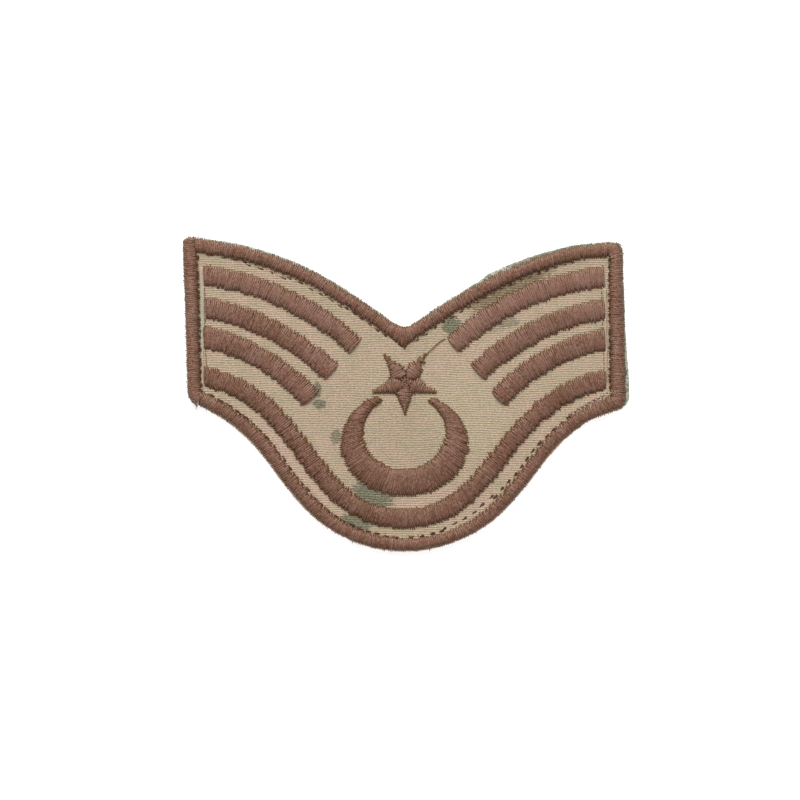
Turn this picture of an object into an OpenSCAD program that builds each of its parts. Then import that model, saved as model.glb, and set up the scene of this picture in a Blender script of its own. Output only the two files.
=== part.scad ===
// Winged chevron rank patch: a cloth ground with raised satin-stitched columns on it.
// The patch lies flat, face up. Its back is at z = 0 and the notch points to +Y.
// All sizes are in millimetres.

/* [Cloth] */
// Thickness of the ground cloth
cloth_t = 1.0; // [0.8:0.1:3]
// How far the cut edge of the cloth stands out from under the border
cloth_peek = 0.35; // [0.1:0.05:0.6]
// How far the cloth lies off the middle of the border, to the right
cloth_shift_x = 0.2; // [-0.3:0.05:0.3]
// How far the cloth lies off the middle of the border, towards the top
cloth_shift_y = 0.12; // [-0.3:0.02:0.3]

/* [Stitched columns] */
// Height of the border's crown above the cloth
border_h = 0.95; // [0.5:0.05:1.5]
// Height of the crown of a bar, the band, the crescent and the star
figure_h = 0.75; // [0.4:0.05:1.2]
// Height of a column at its edge, where the thread goes into the cloth
edge_h = 0.22; // [0.1:0.02:0.3]
// Width at which a column has its whole height
full_w = 2.8; // [1:0.1:4]
// Clearance between two columns that meet
seam = 0.08; // [0.04:0.01:0.2]

/* [Border] */
// Width of the top border
top_w = 3.2; // [2.5:0.05:4]
// Width of a side border
side_w = 3.15; // [2.5:0.05:4]
// Width of the bottom border
bottom_w = 3.0; // [2.5:0.05:4]
// Distance of the middle of a side border from the middle of the patch
side_x = 48.8; // [47:0.1:50]
// Height of the upper end of a side border
side_top_y = 35.4; // [34:0.1:37]
// Height at which a side border starts round its lower corner
side_corner_y = 0.1; // [-0.5:0.1:1.5]
// Angle that a side border turns round its lower corner
side_corner_turn = 63; // [50:1:70]
// Radius at the upper outer corner of a side border
side_round = 1.3; // [0.5:0.1:1.5]
// How much wider the border is at the lower corner of the right wing
right_foot = 0.5; // [0:0.05:0.7]

/* [Top edge] */
// Height of the middle of the top border at the notch
notch_y = 12.7; // [11:0.1:14]
// Slope of the top border beside the notch, in degrees
notch_slope = 34.3; // [30:0.1:38]
// Length of the straight beside the notch
notch_run = 15.9; // [15.5:0.1:16]
// Radius of the shoulder
shoulder_r = 69.3; // [69:0.1:69.6]
// Angle that the shoulder turns
shoulder_turn = 30.1; // [28:0.1:31]
// Half the length of the stitch that lies in the point of the notch
notch_half = 2.35; // [2:0.05:2.8]

/* [Bottom edge] */
// Height of the middle of the bottom border at its lowest point
bottom_y = -34.77; // [-36:0.01:-33.5]
// Radius of the round bottom
bottom_r = 30.4; // [28:0.1:33]
// Angle that the round bottom turns on each side
bottom_turn = 47.1; // [43:0.1:49]
// Radius of the flank above the round bottom
flank_r = 96; // [70:0.5:110]
// Angle that the flank turns
flank_turn = 7.8; // [6:0.1:11]
// Radius where the flank flares out to the wing
flare_r = 37.1; // [32:0.1:42]
// Angle that the flare turns back
flare_turn = 27.9; // [26:0.1:31]
// Length of the straight below the wing's lower corner
flare_run = 4.15; // [3:0.05:5]

/* [Band] */
// Width of the band
band_w = 4.55; // [3.5:0.05:5]
// Height of the middle of the band at its lowest point
band_y = -28.8; // [-30:0.1:-28]
// Radius of the band's round bottom
band_r = 21.6; // [20:0.1:23]
// Angle that the round bottom turns on each side
band_turn = 45.4; // [42:0.1:48]
// Radius above the round bottom
band_flank_r = 68; // [60:1:100]
// Angle that this stretch turns
band_flank_turn = 9; // [6:0.5:10]
// Radius of the first bend outwards
band_bend_r = 74.5; // [60:0.5:100]
// Angle of the first bend outwards
band_bend_turn = 8.7; // [7:0.1:11]
// Radius of the second bend outwards
band_flare_r = 33.1; // [28:0.1:36]
// Angle of the second bend outwards
band_flare_turn = 33.5; // [31:0.5:34]

/* [Bars] */
// Width of the upper, middle and lower bar
bar_w = [4.78, 4.9, 5.05]; // [3.5:0.01:5.2]
// Distance of a bar's outer end from the middle of the patch
bar_x = 46.1; // [45:0.1:46.5]
// Height of the outer end of each bar
bar_y = [26.95, 19.6, 12.72]; // [5:0.01:30]
// Slope of each bar at its outer end, in degrees
bar_slope = [6.4, 9.5, 11]; // [5:0.1:14]
// Radius of each bar
bar_r = [61.3, 55.3, 44]; // [42:0.1:70]
// Angle that each bar turns
bar_turn = [36.4, 34.4, 37.2]; // [30:0.5:37]

/* [Crescent] */
// Half the width of the crescent's outer edge
crescent_outer_a = 14.85; // [14:0.1:16]
// Half the height of the crescent's outer edge
crescent_outer_b = 12.2; // [11.5:0.1:13]
// Height of the middle of the outer edge
crescent_outer_y = -11.5; // [-12.5:0.1:-11]
// Half the width of the crescent's inner edge
crescent_inner_a = 9.4; // [8.5:0.1:10]
// Half the height of the crescent's inner edge
crescent_inner_b = 8.5; // [8:0.1:9]
// Height of the middle of the inner edge
crescent_inner_y = -8.85; // [-9.5:0.05:-8.5]
// Angle from the lowest point to a horn's tip, on the outer edge
horn_outer_angle = 155.5; // [150:1:162]
// Angle from the lowest point to a horn's tip, on the inner edge
horn_inner_angle = 148; // [140:1:150]

/* [Star] */
// Height of the middle of the star
star_y = 2.75; // [2:0.05:3.2]
// Distance of a tip from the middle
star_r = 7.6; // [6.5:0.05:8]
// Distance of the corner between two arms from the middle
star_notch_r = 3.5; // [3:0.05:4]
// Half the width of an arm at its tip
star_tip = 0.35; // [0.2:0.05:0.6]

/* [Pull of the cloth] */
// Slope by which the left side leans to the right at its lower end
left_lean = 0.028; // [0:0.001:0.04]
// Slope by which the right side leans to the right at its lower end
right_lean = 0.01; // [0:0.001:0.04]
// Height at which the leaning sides cross their true place
lean_y = 16.5; // [10:0.5:20]
// How far the right wing's end lies low and the left wing's end lies high
wing_droop = 0.42; // [0:0.02:1]
// How far the top edge of the right wing sags beside the notch
top_sag = 0.6; // [0:0.05:0.8]
// How much higher each bar lies on the right wing than on the left one
right_lift = [0.28, 0.16, 0.13]; // [0:0.01:0.4]
// How far the band lies to the right below the wings
band_sway = -0.3; // [-0.4:0.05:0.4]
// How far the left flank of the band bulges outwards
band_bulge = 0.5; // [0:0.1:1.5]
// Depth below the middle at which the band's sway is whole
sway_depth = 10; // [5:1:20]

/* [Hidden] */

// Columns of a path's rows: the length of a straight or the radius of an arc, and the turn to the left
SIZE = 0;
TURN = 1;
// Columns of a station on a path: x, y, the heading there and the distance walked
HEADING = 2;
WALKED = 3;
// Columns of a rung, which is one stitch across a satin column
LEFT = 0;
RIGHT = 1;

// Longest step along an arc, between two rungs
arc_step = 3.2;
// Distance over which the rungs swing from a slanted end to square
fan_run = 4;
// Radius that the inner edge of a side border keeps at its lower corner
pivot_r = 0.12;
// Step of the rungs round a side border's upper corner
corner_step = 0.35;
// Greatest angle between two rungs round its lower corner
corner_angle = 9;
// Distance over which the bottom border widens to the lower corner of the right wing
foot_run = 8;
// Distances from the middle of the patch between which the top edge sags.
// A power below 1 brings the deepest place nearer to the notch.
sag_from = 10;
sag_to = 39;
sag_power = 0.75;
// Angle between two arms of the star, and half the angle that an arm fills at the middle
arm_angle = 360 / 5;
arm_half_angle = arm_angle / 2;
// Distance of an arm's inner end from the star's middle
arm_start = 0.35;
// Number of rungs on half of the crescent
horn_rungs = 13;

thread = [0.50, 0.37, 0.32];
tan_cloth = [0.75, 0.67, 0.56];

// Half of the top border, from the notch to the right wing
top_rows = [
    [fan_run / 2, 0],
    [fan_run / 2, 0],
    [notch_run - fan_run, 0],
    [shoulder_r, -shoulder_turn],
];
// Half of the bottom border, from the lowest point to the right wing
bottom_rows = [
    [bottom_r, bottom_turn],
    [flank_r, flank_turn],
    [flare_r, -flare_turn],
    [flare_run, 0],
];
// Half of the band, from the lowest point to the right wing
band_rows = [
    [band_r, band_turn],
    [band_flank_r, band_flank_turn],
    [band_bend_r, -band_bend_turn],
    [band_flare_r, -band_flare_turn],
];
top_end_heading = notch_slope - shoulder_turn;
band_end_heading = band_turn + band_flank_turn - band_bend_turn - band_flare_turn;

// Points across half of a column's section, as shares of its half width
section_share = [1, 0.8, 0.35];
// The crown falls to the edges by these two powers
crown_spread = 2.4;
crown_round = 0.6;

// The cloth's outline as it lies, and the move that puts the middle of its box at the origin
cloth_points = [for (p = outline())
    cloth_pull(p, sag = p.y > 0 ? top_sag : 0) + [cloth_shift_x, cloth_shift_y]];
cloth_xs = [for (p = cloth_points) p.x];
cloth_ys = [for (p = cloth_points) p.y];
centre = -[min(cloth_xs) + max(cloth_xs), min(cloth_ys) + max(cloth_ys)] / 2;

// The place and heading after a share of one row
function advance(at, row, share) =
    let (h = at[HEADING], turn = row[TURN] * share)
    row[TURN] == 0
        ? let (run = row[SIZE] * share)
            [at.x + run * cos(h), at.y + run * sin(h), h, at[WALKED] + run]
        : let (r = row[SIZE] * sign(turn), run = abs(turn) * row[SIZE] * PI / 180)
            [at.x + r * (sin(h + turn) - sin(h)), at.y - r * (cos(h + turn) - cos(h)), h + turn,
                at[WALKED] + run];

// The stations along a path, from its start, through the rows from number i on
function stations(at, rows, i = 0) =
    i == len(rows)
        ? [at]
        : let (
            row = rows[i],
            length = row[TURN] == 0 ? row[SIZE] : abs(row[TURN]) * row[SIZE] * PI / 180,
            steps = row[TURN] == 0 ? 1 : max(2, ceil(length / min(arc_step, row[SIZE] / 4)))
        )
        concat(
            [for (k = [0:steps - 1]) advance(at, row, k / steps)],
            stations(advance(at, row, 1), rows, i + 1)
        );

// The rung at a station: half is half the column's width there, and slant turns it off square
function rung(at, half, slant = 0) =
    let (a = at[HEADING] + 90 + slant, reach = half / cos(slant))
    [
        [at.x + reach * cos(a), at.y + reach * sin(a)],
        [at.x - reach * cos(a), at.y - reach * sin(a)]
    ];

// How much of an end's slant is left at some distance from that end
function fan(distance) = pow(max(0, 1 - distance / fan_run), 1.5);

// A point or a rung on the other side of the patch
function mirrored(p) = [-p.x, p.y];
function mirrored_rung(r) = [mirrored(r[LEFT]), mirrored(r[RIGHT])];

// The whole column, from the left wing to the right, from two halves that start at the middle.
// Both are drawn on the right wing, and the first one is mirrored to the left.
function both_wings(left_half, right_half) =
    concat([for (i = [len(left_half) - 1:-1:1]) mirrored_rung(left_half[i])], right_half);

// A column on the left wing, from the one on the right wing
function other_wing(rungs) = [for (i = [len(rungs) - 1:-1:0]) mirrored_rung(rungs[i])];

// The cloth is pulled a little out of true under the needle.
// A long column can also sway on it, bulge on its left flank, and sag on its right wing.
function cloth_pull(p, sway = 0, bulge = 0, sag = 0) =
    let (
        s = p.x / side_x,
        lean = s < 0 ? left_lean : right_lean,
        low = max(0, min(1, -p.y / sway_depth)),
        shift = sway + bulge * min(0, s),
        along_sag = max(0, min(1, (p.x - sag_from) / (sag_to - sag_from)))
    )
    [
        p.x + lean * s * s * (lean_y - p.y) + shift * low * (1 - s * s),
        p.y - wing_droop * s * abs(s) - sag * sin(180 * pow(along_sag, sag_power))
    ];

// Rungs of the top border. The stitches fan out at the notch and stand upright at the wing's end.
function top_rungs(grow = 0) =
    let (
        walk = stations([0, notch_y, notch_slope, 0], top_rows),
        length = walk[len(walk) - 1][WALKED],
        half = concat(
            [[[0, notch_y + notch_half + grow], [0, notch_y - notch_half - grow]]],
            [for (i = [1:len(walk) - 1])
                rung(walk[i], top_w / 2 + grow,
                    -notch_slope * fan(walk[i][WALKED]) - top_end_heading * fan(length - walk[i][WALKED]))]
        )
    )
    both_wings(half, half);

// Half of the bottom border. Its outer edge stands out by foot at the wing's corner.
function bottom_half(grow, foot) =
    let (walk = stations([0, bottom_y, 0, 0], bottom_rows), length = walk[len(walk) - 1][WALKED])
    [for (at = walk)
        let (
            r = rung(at, bottom_w / 2 + grow),
            outwards = (r[RIGHT] - r[LEFT]) / norm(r[RIGHT] - r[LEFT])
        )
        [r[LEFT], r[RIGHT] + outwards * foot * max(0, 1 - (length - at[WALKED]) / foot_run)]];

// Rungs of the bottom border
function bottom_rungs(grow = 0) = both_wings(bottom_half(grow, 0), bottom_half(grow, right_foot));

// Rungs of the band, whose ends stand upright beside the side borders
function band_rungs() =
    let (
        walk = stations([0, band_y, 0, 0], band_rows),
        length = walk[len(walk) - 1][WALKED],
        half = [for (at = walk) rung(at, band_w / 2, -band_end_heading * fan(length - at[WALKED]))]
    )
    both_wings(half, half);

// How much the outer end of a rung is cut back for the round upper corner
function cut_back(distance) =
    let (d = min(distance, side_round))
    side_round - sqrt(side_round * side_round - (side_round - d) * (side_round - d));

// Rungs of a side border on the right, from the top down and round the lower corner.
// The border walks downwards, so the outer end of a rung is its left one.
// It is wider by foot at and round the lower corner.
function side_rungs(grow = 0, foot = 0) =
    let (
        half = side_w / 2,
        round_steps = ceil(side_round / corner_step),
        turn_steps = ceil(side_corner_turn / corner_angle),
        pivot = [side_x - half - pivot_r, side_corner_y]
    )
    concat(
        [for (k = [0:round_steps])
            let (d = side_round * k / round_steps)
            [[side_x + half + grow - cut_back(d), side_top_y - d], [side_x - half, side_top_y - d]]],
        [for (k = [0:turn_steps])
            let (
                share = k / turn_steps,
                along = [cos(side_corner_turn * share), -sin(side_corner_turn * share)],
                reach = pivot_r + side_w + grow + foot
            )
            [pivot + along * reach, pivot + along * pivot_r]]
    );

// Rungs of one bar on the right wing, from its outer end inwards
function bar_rungs(i, lift = 0) =
    let (walk = stations([bar_x, bar_y[i] + lift, 180 + bar_slope[i], 0], [[bar_r[i], bar_turn[i]]]))
    [for (at = walk) rung(at, bar_w[i] / 2, -bar_slope[i] * fan(at[WALKED]))];

// Rungs of the crescent, from the left horn round to the right one
function crescent_rungs() =
    [for (k = [-horn_rungs:horn_rungs])
        let (outer = horn_outer_angle * k / horn_rungs, inner = horn_inner_angle * k / horn_rungs)
        [
            [crescent_inner_a * sin(inner), crescent_inner_y - crescent_inner_b * cos(inner)],
            [crescent_outer_a * sin(outer), crescent_outer_y - crescent_outer_b * cos(outer)]
        ]];

// Rungs of a star arm that points along angle, from the star's middle to the tip.
// A row holds the distance from the middle and half the width there.
function star_rungs(angle) =
    let (
        shoulder = star_notch_r * cos(arm_half_angle),
        shoulder_half = star_notch_r * sin(arm_half_angle) - seam / 2,
        rows = [
            [arm_start, arm_start * tan(arm_half_angle) - seam / 2],
            [shoulder, shoulder_half],
            [(shoulder + star_r) / 2, (shoulder_half + star_tip) / 2],
            [star_r, star_tip],
        ]
    )
    [for (row = rows)
        rung([row[0] * cos(angle), star_y + row[0] * sin(angle), angle], row[1])];

// The outline of the cloth, round the outer edges of the four borders
function outline() =
    let (
        top = top_rungs(cloth_peek),
        right = side_rungs(cloth_peek, right_foot),
        left = other_wing(side_rungs(cloth_peek)),
        bottom = bottom_rungs(cloth_peek)
    )
    concat(
        [for (r = top) r[LEFT]],
        [for (i = [1:len(right) - 1]) right[i][LEFT]],
        [for (i = [len(bottom) - 2:-1:1]) bottom[i][RIGHT]],
        [for (i = [0:len(left) - 2]) left[i][LEFT]]
    );

// The crown's height at a share of the half width, as a share of its whole height
function crown_share(t) = pow(1 - pow(t, crown_spread), crown_round);

// A satin column through the given rungs, seated on the cloth
module satin(rungs, crown, sway = 0, bulge = 0, sag = 0) {
    shares = concat(section_share, [for (i = [len(section_share) - 1:-1:0]) -section_share[i]]);
    ring_n = len(shares) + 2;
    rows = [for (r = rungs) [for (end = r) cloth_pull(end, sway, bulge, sag) + centre]];
    points = [for (r = rows)
        let (
            middle = (r[LEFT] + r[RIGHT]) / 2,
            half = (r[LEFT] - r[RIGHT]) / 2,
            rise = (crown - edge_h) * min(1, 2 * norm(half) / full_w)
        )
        each concat(
            [[r[LEFT].x, r[LEFT].y, cloth_t]],
            [for (t = shares)
                let (p = middle + half * t) [p.x, p.y, cloth_t + edge_h + rise * crown_share(abs(t))]],
            [[r[RIGHT].x, r[RIGHT].y, cloth_t]]
        )];
    last = (len(rows) - 1) * ring_n;
    sides = [for (i = [0:len(rows) - 2], k = [0:ring_n - 1])
        let (a = i * ring_n + k, b = i * ring_n + (k + 1) % ring_n)
        each [[a, b, b + ring_n], [a, b + ring_n, a + ring_n]]];
    start_cap = [[for (k = [ring_n - 1:-1:0]) k]];
    end_cap = [[for (k = [0:ring_n - 1]) last + k]];
    polyhedron(points, concat(start_cap, sides, end_cap));
}

module ground_cloth() {
    color(tan_cloth)
    linear_extrude(cloth_t)
    polygon([for (p = cloth_points) p + centre]);
}

module border_top() {
    color(thread) satin(top_rungs(), border_h, sag = top_sag);
}

module border_bottom() {
    color(thread) satin(bottom_rungs(), border_h);
}

module border_right() {
    color(thread) satin(side_rungs(0, right_foot), border_h);
}

module border_left() {
    color(thread) satin(other_wing(side_rungs()), border_h);
}

module bar_right(i) {
    color(thread) satin(bar_rungs(i, right_lift[i]), figure_h);
}

module bar_left(i) {
    color(thread) satin(other_wing(bar_rungs(i)), figure_h);
}

module band() {
    color(thread) satin(band_rungs(), figure_h, band_sway, band_bulge);
}

module crescent() {
    color(thread) satin(crescent_rungs(), figure_h);
}

module star_arm(i) {
    color(thread) satin(star_rungs(-90 - arm_angle * i), figure_h);
}

ground_cloth();
border_top();
border_right();
border_bottom();
border_left();
bar_left(0);  // bar_left_upper
bar_left(1);  // bar_left_middle
bar_left(2);  // bar_left_lower
bar_right(0);  // bar_right_upper
bar_right(1);  // bar_right_middle
bar_right(2);  // bar_right_lower
band();
crescent();
star_arm(0);  // star_arm_down
star_arm(1);  // star_arm_left
star_arm(2);  // star_arm_upper_left
star_arm(3);  // star_arm_upper_right
star_arm(4);  // star_arm_right
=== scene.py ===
# %% [markdown]
# # A winged rank patch, stitch by stitch
#
# The real patch is a piece of ribbed tan cotton, about 102 mm wide, that lies flat on a table.
# An embroidery machine has covered its edge and its figures with satin stitch: one brown thread that
# runs back and forth across a narrow column, a quarter of a millimetre further at each pass.
# A bump texture could draw those threads, but the edges would stay smooth and the light would slide
# over them as over plastic. So here each pass of the needle is a small tube of its own, and true
# geometry gives the picture its serrated edges and its silky streaks.

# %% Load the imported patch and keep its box
import math

import bmesh
import bpy
import numpy as np
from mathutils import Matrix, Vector, kdtree


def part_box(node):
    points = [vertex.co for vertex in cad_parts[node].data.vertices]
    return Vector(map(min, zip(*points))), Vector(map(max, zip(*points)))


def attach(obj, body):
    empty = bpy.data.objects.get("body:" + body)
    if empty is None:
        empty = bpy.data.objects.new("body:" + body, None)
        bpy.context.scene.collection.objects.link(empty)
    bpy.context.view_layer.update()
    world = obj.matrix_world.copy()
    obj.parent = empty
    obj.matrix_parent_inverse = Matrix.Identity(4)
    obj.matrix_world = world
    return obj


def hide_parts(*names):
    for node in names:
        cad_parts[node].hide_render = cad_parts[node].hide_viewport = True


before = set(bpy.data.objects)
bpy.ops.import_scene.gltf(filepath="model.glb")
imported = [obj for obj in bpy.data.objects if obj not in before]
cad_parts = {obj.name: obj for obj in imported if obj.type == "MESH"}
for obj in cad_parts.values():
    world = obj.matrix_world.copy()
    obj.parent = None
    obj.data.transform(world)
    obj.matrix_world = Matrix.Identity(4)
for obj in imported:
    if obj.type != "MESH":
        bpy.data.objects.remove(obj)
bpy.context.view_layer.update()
MM = 0.001

# %% [markdown]
# ## Camera
#
# The photograph looks straight down at the patch from far away, so that nothing in it tapers.
# A long lens a metre above the table gives the same view. We work out its focal length from the
# 184 mm of table that the picture shows.

# %% A long lens that looks straight down
PICTURE_SIDE, PICTURE_MIDDLE = 184.0, (-1.26, -1.16)
CAMERA_HEIGHT, STITCH_HEIGHT = 1000.0, 1.5

camera_data = bpy.data.cameras.new("camera")
camera_data.sensor_width = 36.0
camera_data.lens = camera_data.sensor_width * (CAMERA_HEIGHT - STITCH_HEIGHT) / PICTURE_SIDE
camera = bpy.data.objects.new("camera", camera_data)
camera.location = Vector((*PICTURE_MIDDLE, CAMERA_HEIGHT)) * MM
scene = bpy.context.scene
scene.collection.objects.link(camera)
scene.camera = camera
print("focal length:", round(camera_data.lens, 1), "mm")

# %% [markdown]
# ## Light
#
# The patch was photographed on pure white, in soft light from the top of the picture: every column is
# paler on its upper slope and brown-grey on its lower one. One wide lamp stands beyond the notch, a
# second one hangs over the table, and a pale sky fills the shadows.

# %% Lamps and sky
SKY = 0.36

scene.view_settings.view_transform = "Standard"
scene.world = scene.world or bpy.data.worlds.new("sky")
scene.world.use_nodes = True
sky = scene.world.node_tree.nodes["Background"]
sky.inputs["Color"].default_value = (1.0, 1.0, 1.0, 1.0)
sky.inputs["Strength"].default_value = SKY


def add_lamp(name, place, side, power):
    """A square soft lamp that looks at the patch."""
    lamp = bpy.data.lights.new(name, "AREA")
    lamp.size = side * MM
    lamp.energy = power
    holder = bpy.data.objects.new(name, lamp)
    holder.location = Vector(place) * MM
    holder.rotation_euler = (-holder.location).to_track_quat("-Z", "Y").to_euler()
    scene.collection.objects.link(holder)


add_lamp("window_lamp", (-150.0, 1150.0, 850.0), 650.0, 21.0)
add_lamp("ceiling_lamp", (250.0, 300.0, 1500.0), 900.0, 3.0)
print("lamps:", len(bpy.data.lights))

# %% [markdown]
# ## Building materials in code
#
# A material is a little network of nodes. Written out socket by socket it gets long, so small helpers
# make each kind of node, set what is a plain value and link what is a socket of another node.

# %% Helpers for node networks
def fill(tree, socket, value):
    """Link a socket to another node's output, or give it a plain value."""
    if isinstance(value, bpy.types.NodeSocket):
        tree.links.new(value, socket)
    else:
        socket.default_value = value


def node(tree, kind, inputs=None, **settings):
    made = tree.nodes.new("ShaderNode" + kind)
    for name, value in settings.items():
        setattr(made, name, value)
    for socket, value in (inputs or {}).items():
        fill(tree, made.inputs[socket], value)
    return made


def calculate(tree, operation, *values):
    return node(tree, "Math", dict(enumerate(values)), operation=operation).outputs[0]


def times(tree, value, factor):
    return calculate(tree, "MULTIPLY", value, factor)


def blend_colours(tree, share, first, second, blend_type="MIX"):
    first, second = ((*colour, 1.0) if isinstance(colour, tuple) else colour for colour in (first, second))
    inputs = {0: share, 6: first, 7: second}
    return node(tree, "Mix", inputs, data_type="RGBA", blend_type=blend_type).outputs[2]


def soft_step(tree, *values):
    """A value stretched from low..high to 0..1, or to a range that is given too, with soft ends."""
    return node(tree, "MapRange", dict(enumerate(values)), interpolation_type="SMOOTHSTEP").outputs[0]


def noise(tree, place, scale, detail, roughness=0.5):
    inputs = {"Vector": place, "Scale": scale, "Detail": detail, "Roughness": roughness}
    return node(tree, "TexNoise", inputs).outputs[0]


def attribute(tree, name, output="Vector"):
    return node(tree, "Attribute", attribute_name=name).outputs[output]


def shader_group(name, inputs, output):
    """An empty node group: its tree, its inputs, and the socket that its result goes to."""
    tree = bpy.data.node_groups.new(name, "ShaderNodeTree")
    for socket, kind in inputs.items():
        tree.interface.new_socket(socket, in_out="INPUT", socket_type="NodeSocket" + kind)
    tree.interface.new_socket(output, in_out="OUTPUT", socket_type="NodeSocketFloat")
    given = tree.nodes.new("NodeGroupInput").outputs
    return tree, given, tree.nodes.new("NodeGroupOutput").inputs[0]


def place_group(tree, name, **inputs):
    """The result of a group that stands in a material with its own values."""
    made = node(tree, "Group", node_tree=bpy.data.node_groups[name])
    for socket, value in inputs.items():
        fill(tree, made.inputs[socket.replace("_", " ").capitalize()], value)
    return made.outputs[0]


print("node helpers are ready")

# %% [markdown]
# ## Effects that several finishes share
#
# "Twisted strand" is the two-ply twist of embroidery thread: a ridge that winds round the tube.
# "Uneven dye" is a slow change over the whole patch, because no dye takes evenly. "Printed blotch" is
# one spot of the cloth's print, an ellipse whose edge the ribs make ragged.

# %% Shader groups
def group_twisted_strand():
    inputs = {"Length": "Float", "Turns": "Float", "Twist length": "Float"}
    tree, given, result = shader_group("Twisted strand", inputs, "Height")
    twists = calculate(tree, "DIVIDE", given["Length"], given["Twist length"])
    phase = times(tree, calculate(tree, "ADD", given["Turns"], twists), math.tau)
    fill(tree, result, calculate(tree, "ABSOLUTE", calculate(tree, "SINE", phase)))


def group_uneven_dye():
    tree, given, result = shader_group("Uneven dye", {"Size": "Float", "Detail": "Float"}, "Factor")
    scale = calculate(tree, "DIVIDE", 1.0 / MM, given["Size"])
    cloud = noise(tree, node(tree, "TexCoord").outputs["Object"], scale, given["Detail"], 0.55)
    fill(tree, result, soft_step(tree, cloud, 0.3, 0.7))


def group_printed_blotch():
    inputs = {"Middle": "Vector", "Half size": "Vector", "Tilt": "Float"}
    tree, given, result = shader_group("Printed blotch", inputs, "Mask")

    def compute(operation, first, second):
        return node(tree, "VectorMath", {0: first, 1: second}, operation=operation).outputs[0]

    place = compute("MULTIPLY", node(tree, "TexCoord").outputs["Object"], (1.0 / MM,) * 3)
    away = {"Vector": compute("SUBTRACT", place, given["Middle"]), "Angle": given["Tilt"]}
    turned = node(tree, "VectorRotate", away, rotation_type="Z_AXIS").outputs[0]
    flat = compute("MULTIPLY", compute("DIVIDE", turned, given["Half size"]), (1.0, 1.0, 0.0))
    reach = node(tree, "VectorMath", {0: flat}, operation="LENGTH").outputs["Value"]
    ragged = noise(tree, compute("MULTIPLY", place, (0.8, 2.2, 1.0)), 1.0, 3.0)
    edge = calculate(tree, "ADD", reach, times(tree, calculate(tree, "SUBTRACT", ragged, 0.5), 1.5))
    fill(tree, result, soft_step(tree, edge, 1.2, 0.85))


group_twisted_strand()
group_uneven_dye()
group_printed_blotch()
print("shader groups:", sorted(group.name for group in bpy.data.node_groups))

# %% [markdown]
# ## Thread
#
# All the embroidery is one brown polyester thread. Close up it isn't one brown: the tops of the
# stitches catch the light and look dusty pink, which the finish paints as highlights, short pale dashes
# along each thread and lighter ridges on its twist. Near the needle holes, and further at a column's
# lower end, the thread is painted dark olive as the shade that falls there. The mesh of each thread
# carries its length, the way round it, its tone, part of which is painted light, and its painted shade,
# and the finish mixes its browns from these. The gloss is a plain constant with a little sheen.

# %% Brown thread, seen bright, dark and pale
TWIST_LENGTH, GLOSS_TINT = 0.9, (1.0, 0.76, 0.56)
TONE_SHARE, RIDGE_SHARE, WIDE_DYE_SHARE, FINE_DYE_SHARE, GLINT_SHARE = 0.22, 0.15, 0.25, 0.12, 0.85
RUSSET, DULL_BROWN = (0.23, 0.085, 0.07), (0.185, 0.11, 0.066)
BROWN_BRIGHT, BROWN_DEEP = (0.295, 0.166, 0.130), (0.116, 0.045, 0.020)
HOLE_SHADE_OLIVE, TIP_SHADE_OLIVE = (0.116, 0.042, 0.008), (0.125, 0.063, 0.014)


def dye(tree, size, detail):
    return place_group(tree, "Uneven dye", size=size, detail=detail)


def new_finish(name, roughness, specular=0.3, sheen=0.0, tint=(1.0, 1.0, 1.0)):
    material = bpy.data.materials.new(name)
    material.use_nodes = True
    shader = material.node_tree.nodes["Principled BSDF"]
    for socket, value in {"Roughness": roughness, "Specular IOR Level": specular, "Sheen Weight": sheen,
                          "Specular Tint": (*tint, 1.0), "Sheen Tint": (*tint, 1.0)}.items():
        shader.inputs[socket].default_value = value
    return material, material.node_tree, shader


def cover(tree, shader, colour, height, strength, depth):
    """Give the shader its colour and a bump, whose depth is in mm."""
    bump = node(tree, "Bump", {"Height": height, "Strength": strength, "Distance": depth * MM})
    fill(tree, shader.inputs["Base Color"], colour)
    fill(tree, shader.inputs["Normal"], bump.outputs[0])


def thread_finish(name, bright, deep, hole_shade, roughness, sheen):
    """Thread from a bright and a deep brown with painted highlights mixed in, and the colour of its painted
    shade near a needle hole.
    """
    material, tree, shader = new_finish(name, roughness, 0.48, sheen, GLOSS_TINT)
    length, turns, tone = node(tree, "SeparateXYZ", {0: attribute(tree, "strand")}).outputs
    ridge = place_group(tree, "Twisted strand", length=length, turns=turns, twist_length=TWIST_LENGTH)
    # Painted highlight: the glints are short pale dashes along each thread, and the ridges of the twist are
    # drawn lighter too.
    own_place = {0: times(tree, length, 1.9), 1: times(tree, tone, 40.0)}
    glints = noise(tree, node(tree, "CombineXYZ", own_place).outputs[0], 1.0, 1.0)
    tone_and_light = times(tree, tone, TONE_SHARE)
    for share, source in ((RIDGE_SHARE, ridge), (WIDE_DYE_SHARE, dye(tree, 5.0, 2.0)),
                          (FINE_DYE_SHARE, dye(tree, 0.6, 1.0)),
                          (GLINT_SHARE, soft_step(tree, glints, 0.3, 0.7))):
        tone_and_light = calculate(tree, "ADD", tone_and_light, times(tree, source, share))
    colour = blend_colours(tree, soft_step(tree, tone_and_light, 0.08, 1.3), deep, bright)
    for size, detail, share, brown in ((2.2, 1.0, 0.32, RUSSET), (3.1, 2.0, 0.3, DULL_BROWN)):
        colour = blend_colours(tree, times(tree, dye(tree, size, detail), share), colour, brown)
    # Painted shade: near its holes and at a column's lower end the thread turns to the dark olive of the
    # shade there.
    near_hole = soft_step(tree, attribute(tree, "painted_shade", "Fac"), 0.05, 0.65, 0.0, 0.92)
    cover(tree, shader, blend_colours(tree, near_hole, colour, hole_shade), ridge, 0.35, 0.04)
    return material


def flat_finish(name, first, second):
    """A dull finish that wanders between two colours."""
    material, tree, shader = new_finish(name, 1.0, 0.0)
    fill(tree, shader.inputs["Base Color"], blend_colours(tree, dye(tree, 0.5, 1.0), first, second))
    return material


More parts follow.
